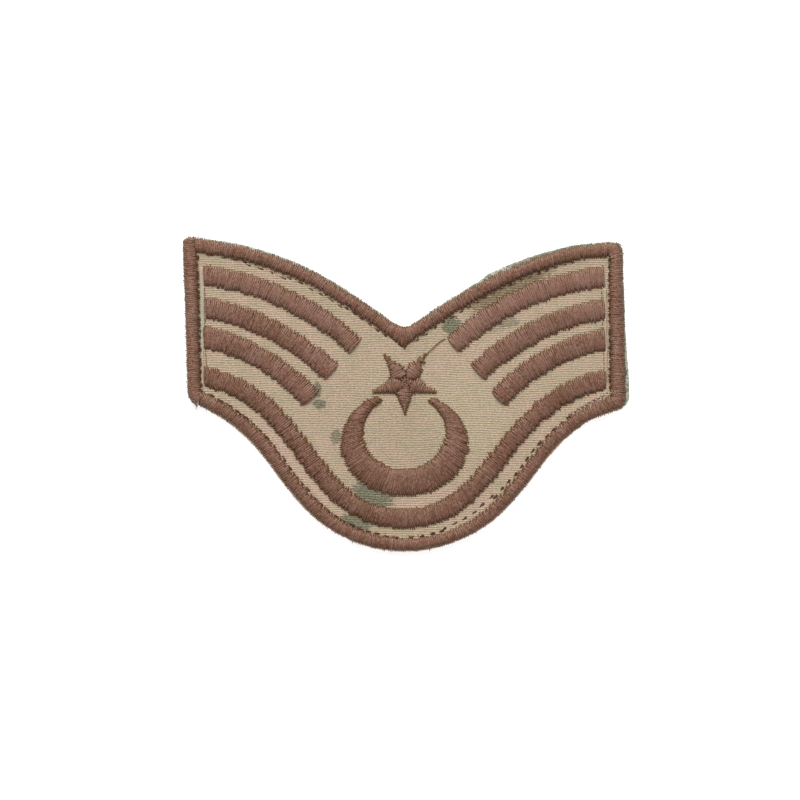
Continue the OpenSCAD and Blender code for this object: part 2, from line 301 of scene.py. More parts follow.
satin_thread = thread_finish("satin_thread", BROWN_BRIGHT, BROWN_DEEP, HOLE_SHADE_OLIVE, 0.43, 0.12)
figure_thread = thread_finish("figure_thread", BROWN_BRIGHT, BROWN_DEEP, TIP_SHADE_OLIVE, 0.43, 0.12)
needle_thread = thread_finish(
    "needle_thread", (0.20, 0.13, 0.065), (0.07, 0.04, 0.018), HOLE_SHADE_OLIVE, 0.6, 0.1)
fibre_and_shade_thread = thread_finish(
    "fibre_and_shade_thread", (0.20, 0.155, 0.115), (0.11, 0.08, 0.055), HOLE_SHADE_OLIVE, 0.7, 0.1)
pale_thread = thread_finish(
    "pale_thread", (0.60, 0.47, 0.36), (0.36, 0.28, 0.20), (0.10, 0.06, 0.03), 0.7, 0.2)
padding_shade = flat_finish("padding_shade", (0.15, 0.068, 0.032), (0.215, 0.105, 0.06))
pit_shade = flat_finish("pit_shade", (0.075, 0.037, 0.018), (0.13, 0.068, 0.035))
print("thread finishes:", sorted(material.name for material in bpy.data.materials))

# %% [markdown]
# ## Table
#
# The table is nothing but white. A surface that only reflects would turn grey round the patch, so we
# let it glow a little as well, like a light table, and the picture stays pure white up to the edge.

# %% White table
FLOOR_SIDE, FLOOR_DROP = 4000.0, 0.05

floor_mesh = bpy.data.meshes.new("floor")
half_floor = FLOOR_SIDE / 2 * MM
floor_mesh.from_pydata(
    [(x * half_floor, y * half_floor, -FLOOR_DROP * MM) for x, y in ((-1, -1), (1, -1), (1, 1), (-1, 1))],
    [], [(0, 1, 2, 3)])
floor = bpy.data.objects.new("floor", floor_mesh)
scene.collection.objects.link(floor)
white, white_tree, white_shader = new_finish("white_table", 1.0, 0.0)
fill(white_tree, white_shader.inputs["Base Color"], (0.8, 0.8, 0.8, 1.0))
fill(white_tree, white_shader.inputs["Emission Color"], (1.0, 1.0, 1.0, 1.0))
fill(white_tree, white_shader.inputs["Emission Strength"], 0.6)
floor_mesh.materials.append(white)
print("table side:", FLOOR_SIDE, "mm")

# %% [markdown]
# ## Paths of the columns
#
# A digitised embroidery column is a list of rungs. A rung is one stitch across the column, with a left
# and a right end. The rungs follow a path of straights and arcs, and they are the same ones that the
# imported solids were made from, so that each thread lies where its solid lies.
# Near the end of a column the rungs swing round, from square to the path to the slant of the end.

# %% Walk a path and put rungs on it
RUNG_STEP, FAN_RUN, FAN_POWER = 0.8, 4.0, 1.5
MIRROR = np.array([-1.0, 1.0])


def walk(x, y, heading, rows):
    """Stations x, y, heading and distance along rows of (length, 0) for a straight or (radius, turn)."""
    stations = [(x, y, heading, 0.0)]
    for size, turn in rows:
        length = abs(math.radians(turn)) * size if turn else size
        pieces = max(2, math.ceil(length / RUNG_STEP))
        bend = turn / pieces
        chord = 2 * size * math.sin(math.radians(abs(bend) / 2)) if turn else length / pieces
        for _ in range(pieces):
            x, y, heading, distance = stations[-1]
            middle = math.radians(heading + bend / 2)
            stations.append((x + chord * math.cos(middle), y + chord * math.sin(middle),
                             heading + bend, distance + length / pieces))
    return np.array(stations)


def toward(angle):
    """Steps of 1 mm at angles in radians."""
    return np.stack([np.cos(angle), np.sin(angle)], -1)


def rungs_on(stations, half, slant=0.0):
    """Left and right ends of the rungs, as an array of rung, end and x or y."""
    reach = half / np.cos(np.radians(slant)) * np.ones(len(stations))
    arm = reach[:, None] * toward(np.radians(stations[:, 2] + 90.0 + slant))
    return np.stack([stations[:, :2] + arm, stations[:, :2] - arm], 1)


def fan(distance):
    """How much of an end's slant is left at some distance from that end."""
    return np.clip(1.0 - distance / FAN_RUN, 0.0, 1.0) ** FAN_POWER


def other_wing(rungs):
    return rungs[::-1] * MIRROR


def both_wings(left_half, right_half):
    return np.concatenate([left_half[:0:-1] * MIRROR, right_half])


print("fan at 0, 2 and 4 mm:", fan(np.array([0.0, 2.0, 4.0])).round(2))

# %% [markdown]
# ## The four columns of the border
#
# The border isn't one ring. The machine has sewn four separate columns, and a seam shows at each
# corner. The side columns turn round the lower corners, where their stitches fan out from one point,
# and on the right the border widens into a foot. The left column runs straight up to the top edge. The
# right one fans round its upper corner as well, which is nearly square, so there the reach of the fan
# follows a superellipse. Some threads reach a little past their solid, which the over values say.

# %% Rungs of the border
NOTCH_Y, NOTCH_SLOPE, NOTCH_RUN, NOTCH_HALF = 12.7, 34.3, 15.9, 2.35
SHOULDER_R, SHOULDER_TURN, TOP_W = 69.3, 30.1, 3.2
BOTTOM_Y, BOTTOM_W, FOOT_RUN = -34.77, 3.0, 8.0
BOTTOM_ROWS = [(30.4, 47.1), (96.0, 7.8), (37.1, -27.9), (4.15, 0)]
NOTCH_FLOOR, NOTCH_SOFT = 14.95, 0.95
SIDE_X, SIDE_W, SIDE_TOP_Y, SIDE_ROUND = 48.8, 3.15, 35.4, 1.3
HEAD_DOWN, HEAD_H, HEAD_SQUARE = 3.1, 2.95, 3.2
CORNER_Y, CORNER_TURN, PIVOT_R, RIGHT_FOOT = 0.1, 63.0, 0.12, 0.5
HEAD_RUNGS, ROUND_RUNGS, CORNER_RUNGS = 16, 6, 13


def top_rungs(over=0.02):
    path = walk(0, NOTCH_Y, NOTCH_SLOPE, [(NOTCH_RUN, 0), (SHOULDER_R, -SHOULDER_TURN), (over, 0)])
    walked = path[:, 3]
    slant = -NOTCH_SLOPE * fan(walked) - (NOTCH_SLOPE - SHOULDER_TURN) * fan(walked[-1] - walked)
    half = rungs_on(path, TOP_W / 2, slant)
    half[0] = [[0, NOTCH_Y + NOTCH_HALF], [0, NOTCH_Y - NOTCH_HALF]]
    below = NOTCH_FLOOR - half[:, 0, 1]
    half[:, 0, 1] += (below + np.sqrt(below ** 2 + NOTCH_SOFT ** 2)) / 2
    return both_wings(half, half)


def bottom_rungs(over=0.0):
    """The bottom column, whose right foot stands outwards and whose left half is fuller inwards."""
    path = walk(0, BOTTOM_Y, 0, BOTTOM_ROWS)
    fuller = rungs_on(path, BOTTOM_W / 2)
    outward, footed = (fuller[:, 1] - fuller[:, 0]) / BOTTOM_W, fuller.copy()
    from_middle, from_end = (np.clip(run / FOOT_RUN, 0, 1)[:, None]
                             for run in (path[:, 3], path[-1, 3] - path[:, 3]))
    footed[:, 1] += outward * (RIGHT_FOOT + over) * (1 - from_end)
    fuller[:, 0] -= outward * over * from_middle
    return both_wings(fuller, footed)


def side_rungs(foot, fanned_head=True):
    """The right side from the top down, and round the lower corner. Its outer end is the left one."""
    inner_x, rungs = SIDE_X - SIDE_W / 2, []
    head, pivot = np.array([[inner_x - PIVOT_R, y] for y in (SIDE_TOP_Y - HEAD_DOWN, CORNER_Y)])
    for down in np.linspace(0, SIDE_ROUND, 0 if fanned_head else ROUND_RUNGS):
        cut = SIDE_ROUND - math.sqrt(SIDE_ROUND ** 2 - (SIDE_ROUND - down) ** 2)
        rungs.append([[SIDE_X + SIDE_W / 2 - cut, SIDE_TOP_Y - down], [inner_x, SIDE_TOP_Y - down]])
    for along in toward(np.radians(np.linspace(90, 0, HEAD_RUNGS if fanned_head else 0))):
        reach = sum((part / full) ** HEAD_SQUARE for part, full in zip(along, (SIDE_W + PIVOT_R, HEAD_H)))
        rungs.append([head + along * reach ** (-1 / HEAD_SQUARE), head + along * PIVOT_R])
    for along in toward(-math.radians(CORNER_TURN) * np.linspace(0, 1, CORNER_RUNGS)):
        rungs.append([pivot + along * (PIVOT_R + SIDE_W + foot), pivot + along * PIVOT_R])
    return np.array(rungs, float)


print("border rungs:", len(top_rungs()), len(bottom_rungs()), len(side_rungs(0)))

# %% [markdown]
# ## Bars, band, crescent and star
#
# Three short bars curve inwards on each wing, and lie a little higher on the right one. The band below
# them is one long column that runs down one wing, under the crescent and up the other. The crescent's
# right horn hangs low on its outer side. Each arm of the star is stitched across its own axis.
# A bar's row is height, slope, radius, turn, width, and its lift on the right wing. A star arm's row is
# how far it lies to the right and up, how much longer it is and how many degrees it leans.

# %% Rungs of the figures
BAND_Y, BAND_W = -28.8, 4.55
BAND_ROWS = [(21.6, 45.4), (68.0, 9.0), (74.5, -8.7), (33.1, -33.5)]
BAR_X = 46.1
BARS = {"upper": (26.95, 6.4, 61.3, 36.4, 4.78, 0.28), "middle": (19.6, 9.5, 55.3, 34.4, 4.9, 0.16),
        "lower": (12.72, 11.0, 44.0, 37.2, 5.05, 0.13)}
OUTER_A, OUTER_B, OUTER_Y, LEFT_HORN, RIGHT_HORN = 14.85, 12.2, -11.5, 155.5, 153.7
INNER_A, INNER_B, INNER_Y, INNER_HORN = 9.4, 8.5, -8.85, 148.0
CRESCENT_RUNGS, TAPER_FROM, TAPER = 81, 0.88, 0.14
HORN_FROM, HORN_TO, RIGHT_DROP = 0.7, 0.82, 0.25
STAR_Y, STAR_R, STAR_NOTCH_R, STAR_TIP, ARM_START, ARM_WAIST = 2.75, 7.6, 3.5, 0.33, 0.35, (5.2, 0.98)
ARMS = {"down": (0.15, 0.0, 0.0, 0.0), "left": (0.0, 0.0, 0.1, 0.0), "upper_left": (-0.1, -0.05, 0.25, 2.0),
        "upper_right": (0.2, 0.05, 0.4, 2.0), "right": (0.0, 0.0, 0.1, 0.0)}
ARM_ANGLE = 360.0 / len(ARMS)


def band_rungs():
    path = walk(0, BAND_Y, 0, BAND_ROWS)
    half = rungs_on(path, BAND_W / 2, -path[-1, 2] * fan(path[-1, 3] - path[:, 3]))
    return both_wings(half, half)


def bar_rungs(row, share=0.0):
    """One bar on the right wing, from its outer end inwards, with a share of its lift."""
    y, slope, radius, turn, wide, lift = row
    path = walk(BAR_X, y + share * lift, 180.0 + slope, [(radius, turn)])
    return rungs_on(path, wide / 2, -slope * fan(path[:, 3]))


def crescent_rungs():
    share = np.linspace(-1, 1, CRESCENT_RUNGS)
    outer = np.radians(np.where(share < 0, LEFT_HORN, RIGHT_HORN) * share)
    inner = np.radians(INNER_HORN * share)
    outer_end = np.stack([OUTER_A * np.sin(outer), OUTER_Y - OUTER_B * np.cos(outer)], 1)
    inner_end = np.stack([INNER_A * np.sin(inner), INNER_Y - INNER_B * np.cos(inner)], 1)
    taper = TAPER * np.clip((abs(share) - TAPER_FROM) / (1 - TAPER_FROM), 0, 1)[:, None] ** 2
    outer_end[:, 1] -= RIGHT_DROP * np.clip((share - HORN_FROM) / (HORN_TO - HORN_FROM), 0, 1)
    return np.stack([inner_end + (outer_end - inner_end) * taper, outer_end], 1)


def star_rungs(angle, longer):
    """One arm from the star's middle to its tip. A row is a distance and half the width there."""
    half_turn = math.radians(ARM_ANGLE / 2)
    rows = np.array([(ARM_START, ARM_START * math.tan(half_turn)), STAR_NOTCH_R * toward(half_turn),
                     ARM_WAIST, (STAR_R + longer, STAR_TIP)])
    places = rows[:, :1] * toward(math.radians(angle)) + (0, STAR_Y)
    return rungs_on(np.column_stack([places, np.full(len(rows), angle)]), rows[:, 1])


print("crescent rungs:", len(crescent_rungs()), "star arms:", len(ARMS))

# %% [markdown]
# ## The pull of the cloth
#
# Needlework is never quite true. The left side leans, one wing lies lower, the top edge sags on the
# right, and the long columns sway. One function moves every point of the perfect drawing to where the
# photograph shows it.

# %% Pull the drawing out of true
LEFT_LEAN, RIGHT_LEAN, LEAN_Y = 0.028, 0.01, 16.5
WING_DROOP, SWAY_DEPTH = 0.42, 10.0
TOP_SAG, SAG_FROM, SAG_TO, SAG_POWER = 0.6, 10.0, 39.0, 0.75
BAND_PULL = {"sway": -0.3, "bulge": 0.5}


def pull(points, sway=0.0, bulge=0.0, sag=0.0):
    x, y = points[..., 0], points[..., 1]
    s = x / SIDE_X
    lean = np.where(s < 0, LEFT_LEAN, RIGHT_LEAN)
    low = np.clip(-y / SWAY_DEPTH, 0, 1)
    shift = (sway + bulge * np.minimum(0, s)) * low * (1 - s ** 2)
    sink = sag * np.sin(np.pi * np.clip((x - SAG_FROM) / (SAG_TO - SAG_FROM), 0, 1) ** SAG_POWER)
    return np.stack([x + lean * s ** 2 * (LEAN_Y - y) + shift, y - WING_DROOP * s * abs(s) - sink], -1)


def unit(vectors):
    return vectors / np.maximum(np.linalg.norm(vectors, axis=-1, keepdims=True), 1e-9)


def left_of(vectors):
    return vectors[..., ::-1] * MIRROR


def outwards(outline):
    """The way out of a closed outline, which is to the left of a clockwise walk."""
    return left_of(unit(np.roll(outline, -1, 0) - np.roll(outline, 1, 0)))


def grown(outline, reach):
    return outline + outwards(outline) * np.reshape(reach, (-1, 1))


def places_at(at, walked, line):
    return np.stack([np.interp(at, walked, line[:, axis]) for axis in (0, 1)], -1)


def even_steps(line, step, closed=False):
    """Points at even steps along a line, and how far along each one is."""
    if closed:
        line = np.concatenate([line, line[:1]])
    walked = np.concatenate([[0.0], np.cumsum(np.linalg.norm(np.diff(line, axis=0), axis=1))])
    at = np.linspace(0, walked[-1], round(walked[-1] / step) + 1)
    at = at[:-1] if closed else at
    return places_at(at, walked, line), at


print("the top edge sags by", TOP_SAG, "mm, and a wing droops by", WING_DROOP, "mm")

# %% [markdown]
# ## Every column in its place
#
# The drawing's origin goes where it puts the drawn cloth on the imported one, so we draw the cloth's
# outline first, pull it, and compare the middles of the two boxes. Then all the columns can be laid in.
# A few ends get the machine's own errors: the top edge lifts at both wing ends, and two bars of the
# left wing stop short. Each column is compared with its solid, and the far ones are named.

# %% Lay the columns into the frame
CLOTH_PEEK, CLOTH_SHIFT = 0.35, np.array([0.2, 0.12])
TOP_OVER, BOTTOM_OVER = 0.35, 0.25
TOP_LIFT, LIFT_REACH = [(-46.5, 0.38), (46.0, 0.15)], 3.0
SHORT_ENDS = {"bar_left_upper": 0.35, "bar_left_middle": 0.6}
WORTH_SAYING = 0.15

top_edge, bottom_edge = top_rungs()[:, 0], bottom_rungs()[::-1][1:-1, 1]
right_edge, left_edge = side_rungs(RIGHT_FOOT)[1:, 0], other_wing(side_rungs(0, False))[:-1, 0]
border_edge = np.concatenate(
    [pull(top_edge, sag=TOP_SAG), pull(right_edge), pull(bottom_edge), pull(left_edge)])
notch_at = len(top_edge) // 2
bottom_at = len(top_edge) + len(right_edge) + len(bottom_edge) // 2

plain_cloth = grown(border_edge, CLOTH_PEEK) + CLOTH_SHIFT
cloth_low, cloth_high = (np.array(corner)[:2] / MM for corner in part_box("ground_cloth"))
centre = (cloth_low + cloth_high) / 2 - (plain_cloth.min(0) + plain_cloth.max(0)) / 2
border_edge += centre

columns = {
    "border_top": pull(top_rungs(TOP_OVER), sag=TOP_SAG), "border_bottom": pull(bottom_rungs(BOTTOM_OVER)),
    "border_right": pull(side_rungs(RIGHT_FOOT)), "border_left": pull(other_wing(side_rungs(0, False))),
    "band": pull(band_rungs(), **BAND_PULL), "crescent": pull(crescent_rungs())}
for place, row in BARS.items():
    columns[f"bar_right_{place}"] = pull(bar_rungs(row, 1.0))
    columns[f"bar_left_{place}"] = pull(other_wing(bar_rungs(row)))
for number, (arm, (right, up, longer, lean)) in enumerate(ARMS.items()):
    columns[f"star_arm_{arm}"] = pull(star_rungs(-90.0 - ARM_ANGLE * number - lean, longer)) + (right, up)
columns = {name: rungs + centre for name, rungs in columns.items()}
for name, share in SHORT_ENDS.items():
    columns[name][-1] += (columns[name][-2] - columns[name][-1]) * share
top_outer = columns["border_top"][:, 0]
for x, rise in TOP_LIFT:
    top_outer[:, 1] += rise * np.exp(-abs(top_outer[:, 0] - x) / LIFT_REACH)
for name, rungs in columns.items():
    off = abs(np.array(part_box(name))[:, :2] / MM - [rungs.min((0, 1)), rungs.max((0, 1))]).max()
    if off > WORTH_SAYING:
        print(name, "lies off its solid by", round(float(off), 2), "mm")
print("columns:", len(columns), "centre:", centre.round(2))

# %% [markdown]
# ## From a line of points to a thread
#
# A thread is a tube. Blender's curves could be bevelled into tubes, but we need three thousand of them
# and want to give each its own twist, width and tone. So we sweep a flat oval ring along all the
# threads at once with numpy. Two attributes go with each point. "strand" holds the length along the
# thread in millimetres, the way round it as a share of a turn, and the thread's tone, part of which is
# painted light. The other one is painted shade: how dark a point is drawn near a needle hole and at the
# lower end of a satin stitch.

# %% Sweep many threads at once
SIDES = 6


def mesh_part(points, faces, vector, value, finish=0):
    """Points, faces, the two attributes and the number of the material, ready for build_piece."""
    points = points.reshape(-1, 3)
    return {"points": points, "faces": faces, "finish": np.full(len(faces), finish),
            "vector": np.broadcast_to(vector, points.shape), "value": np.broadcast_to(value, len(points))}


def raised(plan, z):
    """Places in the plan with a height for each."""
    return np.concatenate([plan, np.broadcast_to(z, plan.shape[:-1])[..., None]], -1)


def sweep(centres, wide, high, tone, painted_shade=0.0, finish=0):
    """Tubes along centres (thread, point, xyz), with half widths and half heights for each point."""
    threads, points = centres.shape[:2]
    shape = (threads, points, SIDES)
    along = unit(np.gradient(centres, axis=1))
    across = unit(np.cross(along, [0.0, 0.0, 1.0]) + [1e-6, 0, 0])
    up = np.cross(across, along)
    turn = math.tau * (np.arange(SIDES) + 0.5) / SIDES - math.pi / 2
    wide, high, painted_shade = (np.broadcast_to(value, (threads, points))[:, :, None, None]
                       for value in (wide, high, painted_shade))
    rings = (centres[:, :, None] + wide * across[:, :, None] * np.cos(turn)[:, None]
             + high * up[:, :, None] * np.sin(turn)[:, None])
    steps = np.linalg.norm(np.diff(centres, axis=1), axis=2)
    length = np.concatenate([np.zeros((threads, 1)), np.cumsum(steps, 1)], 1)[:, :, None]
    strand = (length, np.arange(SIDES) / SIDES, np.reshape(tone, (-1, 1, 1)))
    strand = np.stack([np.broadcast_to(value, shape) for value in strand], -1)
    index = np.arange(threads * points * SIDES).reshape(shape)
    ahead = np.roll(index, -1, 2)
    walls = np.stack([index[:, :-1], index[:, 1:], ahead[:, 1:], ahead[:, :-1]], -1).reshape(-1, 4)
    caps = [index[:, end][:, corners] for k in range(1, SIDES - 1, 2)
            for end, corners in ((0, [0, k, k + 1, k + 2]), (-1, [k + 2, k + 1, k, 0]))]
    painted_shade = np.broadcast_to(painted_shade, (*shape, 1)).reshape(-1)
    return mesh_part(rings, np.concatenate([walls, *caps]), strand.reshape(-1, 3), painted_shade, finish)


print("one thread of 12 steps has", 2 * (12 * SIDES + SIDES - 2), "triangles")

# %% [markdown]
# ## From arrays to a piece
#
# The stitches have four hundred thousand faces, which are slow to make one by one. So the arrays of
# points, faces and attributes are written straight into a mesh, and each piece is told at once which
# body it rides on and which materials it has.

# %% Build a piece from its parts
WELD_REACH = 0.002


def build_piece(name, parts, materials, attributes=("strand", "painted_shade"), weld=False):
    """One object from the parts, each with the number of its material."""
    starts = np.cumsum([0] + [len(part["points"]) for part in parts])
    faces = np.concatenate([part["faces"] + start for part, start in zip(parts, starts)]).astype(np.int32)
    joined = {field: np.concatenate([part[field] for part in parts])
              for field in ("vector", "value", "finish")}
    points = np.concatenate([part["points"] for part in parts]) * MM
    mesh = bpy.data.meshes.new(name)
    mesh.vertices.add(len(points))
    mesh.vertices.foreach_set("co", points.astype(np.float32).ravel())
    mesh.loops.add(faces.size)
    mesh.loops.foreach_set("vertex_index", faces.ravel())
    mesh.polygons.add(len(faces))
    mesh.polygons.foreach_set("loop_start", np.arange(0, faces.size, 4, dtype=np.int32))
    for attribute_name, kind, field in zip(attributes, ("FLOAT_VECTOR", "FLOAT"), ("vector", "value")):
        data = mesh.attributes.new(attribute_name, kind, "POINT").data
        data.foreach_set(field, joined[field].astype(np.float32).ravel())
    for material in materials:
        mesh.materials.append(material)
    mesh.polygons.foreach_set("material_index", joined["finish"].astype(np.int32))
    mesh.update(calc_edges=True)
    if weld:
        grid = bmesh.new()
        grid.from_mesh(mesh)
        bmesh.ops.remove_doubles(grid, verts=grid.verts, dist=WELD_REACH * MM)
        grid.to_mesh(mesh)
        grid.free()
    mesh.shade_smooth()
    piece = bpy.data.objects.new(name, mesh)
    scene.collection.objects.link(piece)
    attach(piece, "root")
    return piece


def triangles(piece):
    return sum(len(polygon.vertices) - 2 for polygon in piece.data.polygons)


# %% [markdown]
# ## The surface of the cloth
#
# The ground is a ribbed cotton with nearly two ribs to the millimetre. A few waves of different lengths,
# added up, make the ribs wander and swell. Embroidery draws cloth together, so we also look up how far
# each place is from the nearest column edge. A k-d tree does that quickly. Just inside the border runs
# a tacking stitch that held the layers in place. Between its stitches the cloth puffs up, and at each
# stitch it is pinched. A row of the tacking names a column and an edge of it, where it starts and stops
# along x, how far in it lies at both ends, its pitch and the length of a stitch.

# %% Ribs, puffs and pinches
CLOTH_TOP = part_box("border_top")[0].z / MM
RIB, RIB_DEPTH, RIB_SINK, EDGE_STEP = 0.538, 0.082, 0.03, 0.4
PUCKER_REACH, PUCKER, PUFF_REACH, PUFF, PINCH_REACH, PINCH = 0.8, 0.5, 1.2, 0.14, 0.7, 1.3
WANDER = [(0.08, 37.0, 90.0, 0.3), (0.07, -17.0, 26.0, 1.9), (0.05, 9.1, -13.0, 4.0), (0.03, 4.3, 7.7, 2.2)]
SWELL = [(0.04, 23.0, 31.0, 1.0), (0.03, -11.0, 14.0, 2.6), (0.02, 5.3, 6.1, 0.4)]
GROOVES = [(0.3, 6.3, -1.9, 0.0), (0.25, 2.9, 1.15, 2.0), (0.2, -1.7, 0.83, 4.4)]
TACK_ERROR, TACK_LENGTHS = 0.08, (0.8, 1.2)
TACKED = (("border_top", 1), ("border_bottom", 0))
TACKS = [(*TACKED[side], *row) for side, rows in enumerate((
    ((-45.0, -37.0, 0.1, 0.3, 2.6, 1.2), (-36.6, -27.5, 0.65, 0.8, 2.6, 1.5),
     (-27.2, -14.8, 0.5, 0.55, 2.5, 1.5), (-13.8, -0.8, 0.15, 0.15, 2.3, 1.2),
     (1.6, 11.0, 0.4, 0.3, 2.4, 1.1), (12.0, 24.0, 0.3, 0.4, 2.3, 1.0), (24.5, 38.5, 0.5, 0.4, 2.1, 0.9)),
    ((-45.5, -24.0, 0.12, 0.08, 2.2, 1.9), (-23.0, -2.0, 0.14, 0.12, 2.1, 1.6),
     (0.8, 9.0, 0.35, 0.4, 2.2, 1.2), (9.0, 20.5, 0.8, 1.25, 2.5, 1.1), (20.8, 38.0, 0.6, 0.2, 2.3, 1.2)),
)) for row in rows]


def waves(x, y, rows):
    """A sum of sine waves. A row is height in mm, then the wave lengths along x and y, then a phase."""
    return sum(size * np.sin(math.tau * (x / along + y / up) + phase) for size, along, up, phase in rows)


def beside_edge(row, rng):
    """Starts and stops of short stitches at even steps along a column's edge, and the way along it."""
    name, end, x_from, x_to, inset_from, inset_to, pitch, length = row
    rail, other = columns[name][:, end], columns[name][:, 1 - end]
    inset = np.interp(rail[:, 0], [x_from, x_to], [inset_from, inset_to])
    path = (rail + unit(rail - other) * inset[:, None])[(rail[:, 0] > x_from) & (rail[:, 0] < x_to)]
    places, _ = even_steps(path, pitch)
    along = unit(np.gradient(places, axis=0))
    places = places + rng.normal(0, TACK_ERROR, places.shape)
    half = along * (length / 2 * rng.uniform(*TACK_LENGTHS, len(places)))[:, None]
    return places - half, places + half, along


def lookup_tree(points):
    tree = kdtree.KDTree(len(points))
    for number, (x, y) in enumerate(points):
        tree.insert((x, y, 0.0), number)
    tree.balance()
    return tree


def edge_tree(edges):
    lines = [even_steps(columns[name][:, end], EDGE_STEP)[0] for name, end in edges]
    return lookup_tree(np.concatenate(lines))


def closeness(tree, x, y, reach):
    """1 at a point of the tree, falling to nothing a few reaches away."""
    away = [tree.find((*place, 0.0))[2] for place in zip(x.ravel(), y.ravel())]
    return np.exp(-(np.array(away) / reach) ** 2).reshape(x.shape)


tack_rng = np.random.default_rng(60)
tacks = [beside_edge(row, tack_rng)[:2] for row in TACKS]
tack_tree = lookup_tree(np.concatenate([(starts + stops) / 2 for starts, stops in tacks]))
rail_tree, tacked_rails = edge_tree((name, end) for name in columns for end in (0, 1)), edge_tree(TACKED)


def cloth_surface(x, y):
    """Height of the cloth at flat places, closeness to a column, count of ribs and depth of grooves."""
    near = closeness(rail_tree, x, y, PUCKER_REACH)
    puff = closeness(tacked_rails, x, y, PUFF_REACH) * (1 - PINCH * closeness(tack_tree, x, y, PINCH_REACH))
    groove = 1 + waves(x, y, GROOVES) + PUCKER * near
    ridge = RIB_DEPTH / 2 * np.cos(math.tau * (y / RIB)) * groove
    return CLOTH_TOP - RIB_SINK + ridge + waves(x, y, SWELL) + PUFF * puff, near, y / RIB, groove


def cloth_height(places):
    return cloth_surface(places[..., 0], places[..., 1])[0]


print("tacking stitches:", sum(len(starts) for starts, _ in tacks))

# %% [markdown]
# ## Satin stitches
#
# The needle goes down on the left, then on the right, half a step further on, and so on. Each thread
# runs from one hole to the next, so two threads meet in every hole and spread apart between. That
# zigzag is what serrates a satin edge. Where the column turns sharply, the holes on the inside would
# crowd, and the machine makes every other stitch there a short one. The cloth is ribbed, and a needle
# slips off a rib into the groove beside it, so edges that run nearly along the ribs come out in steps.

# %% Needle holes along a column
STITCH_STEP, CROWDED, SHORT_STITCH = 0.25, 0.4, 0.3
GROOVE_PULL, MOST_PULL, STEEP = 0.8, 0.28, 0.3
ALONG_ERROR, RAGGED_REACH = 0.035, 2.5


def drift(rng, places, reach, amount):
    """A slow random change along a line, with a new value every reach mm."""
    knots = np.arange(places.min(), places.max() + 2 * reach, reach)
    return amount * np.interp(places, knots, rng.normal(0, 1, len(knots)))


def needle_holes(rungs, rng, ragged, pulls=(1.0, 1.0), step=STITCH_STEP):
    """Where the needle goes down, left and right by turns, and the way out of the column at each hole.
    The pulls say how much the ribs shift the holes at either end."""
    steps = np.linalg.norm(np.diff(rungs, axis=0), axis=2)
    distance = np.concatenate([[0.0], np.cumsum(steps.max(axis=1))])
    count = max(3, round(distance[-1] / step))
    at = np.linspace(0, distance[-1], count + 1)
    ends = np.stack([places_at(at, distance, rungs[:, end]) for end in (0, 1)], 1)
    every, turns = range(count + 1), np.arange(count + 1) % 2
    holes, others = ends[every, turns], ends[every, 1 - turns]
    outward = unit(holes - others)
    pace = np.linalg.norm(np.gradient(ends, axis=0), axis=2)[every, turns] / (distance[-1] / count)
    short = (pace < CROWDED) & (np.arange(count + 1) // 2 % 2 == 1)
    holes = np.where(short[:, None], holes + (others - holes) * SHORT_STITCH, holes)
    reach = rng.normal(0, ragged, count + 1) + drift(rng, at, RAGGED_REACH, ragged / 2)
    along = unit(np.gradient(ends.mean(1), axis=0))
    holes = holes + outward * reach[:, None] + along * rng.normal(0, ALONG_ERROR, (count + 1, 1))
    to_groove = (np.floor(holes[:, 1] / RIB) + 0.5) * RIB - holes[:, 1]
    flat = abs(outward[:, 1]) > STEEP
    slip = np.where(flat, GROOVE_PULL * to_groove / np.where(flat, outward[:, 1], 1), 0)
    slip = np.clip(slip, -MOST_PULL, MOST_PULL) * np.array(pulls)[turns]
    return holes + outward * slip[:, None], outward


trial_holes, _ = needle_holes(columns["border_right"], np.random.default_rng(0), 0.05)
print("holes down the right side:", len(trial_holes))

# %% [markdown]
# ## Arched threads on a dark bed
# A thread rises steeply out of the cloth, lies over the padding in a flat arch and dives again. Its
# colour is painted darker towards both holes, and for a longer way at its lower end, which faces away
# from the window lamp: that is painted shade.
# A thread rises steeply out of the cloth, lies over the padding in a flat arch and dives again.
# Beneath the threads lies a low domed strip. It stands for the padding stitches that a digitiser puts
# under satin, and it closes the gaps between the threads. Almost no light gets there, so it is dark.
# A dark fleck at a hole is the pit that the needle has left in the cloth, drawn dark as painted shade.

# %% Arches, bed and needle pits
ARCH_STEPS, FULL_W, ARCH_FLAT, ARCH_SHOULDER = 12, 2.8, 2.2, 0.62
THREAD_WIDE, THREAD_HIGH, THIN_END, TAPER_REACH, TAPER_POWER = 0.215, 0.115, 0.48, 0.8, 0.8
BOW_SHARE, WRIGGLE, RISE_ERROR, WIDE_ERROR = 0.009, 0.032, 0.025, 0.07
TURN_RISE, TURN_SHEEN, SLOW_REACH, SLOW_SHEEN = 0.02, 0.55, 1.5, 0.2
LOW_SHADE, LOW_REACH = 0.4, 1.3
LEAST_RISE, SINK, BED_INSET, LEAST_BED = 0.14, 0.12, 0.45, 0.3
BED_SHARES = np.array([1.0, 1.0, 0.75, 0.3, -0.3, -0.75, -1.0, -1.0])
BED_RISES = np.array([-0.2, 0.02, 0.4, 0.72, 0.72, 0.4, 0.02, -0.2])
PIT_REACHES, PIT_WIDTHS, PIT_HIGH, PIT_FROM = (0.4, 1.0), (0.07, 0.13), 0.05, -0.15
PIT_TAPER = np.array([0.7, 1.0, 0.8, 0.25])


def bent_lines(starts, stops, u, bend):
    """Places at shares u of straight lines, moved sideways by the bend."""
    span = stops - starts
    return starts[:, None] + span[:, None] * u[:, None] + left_of(unit(span))[:, None] * bend[:, :, None]


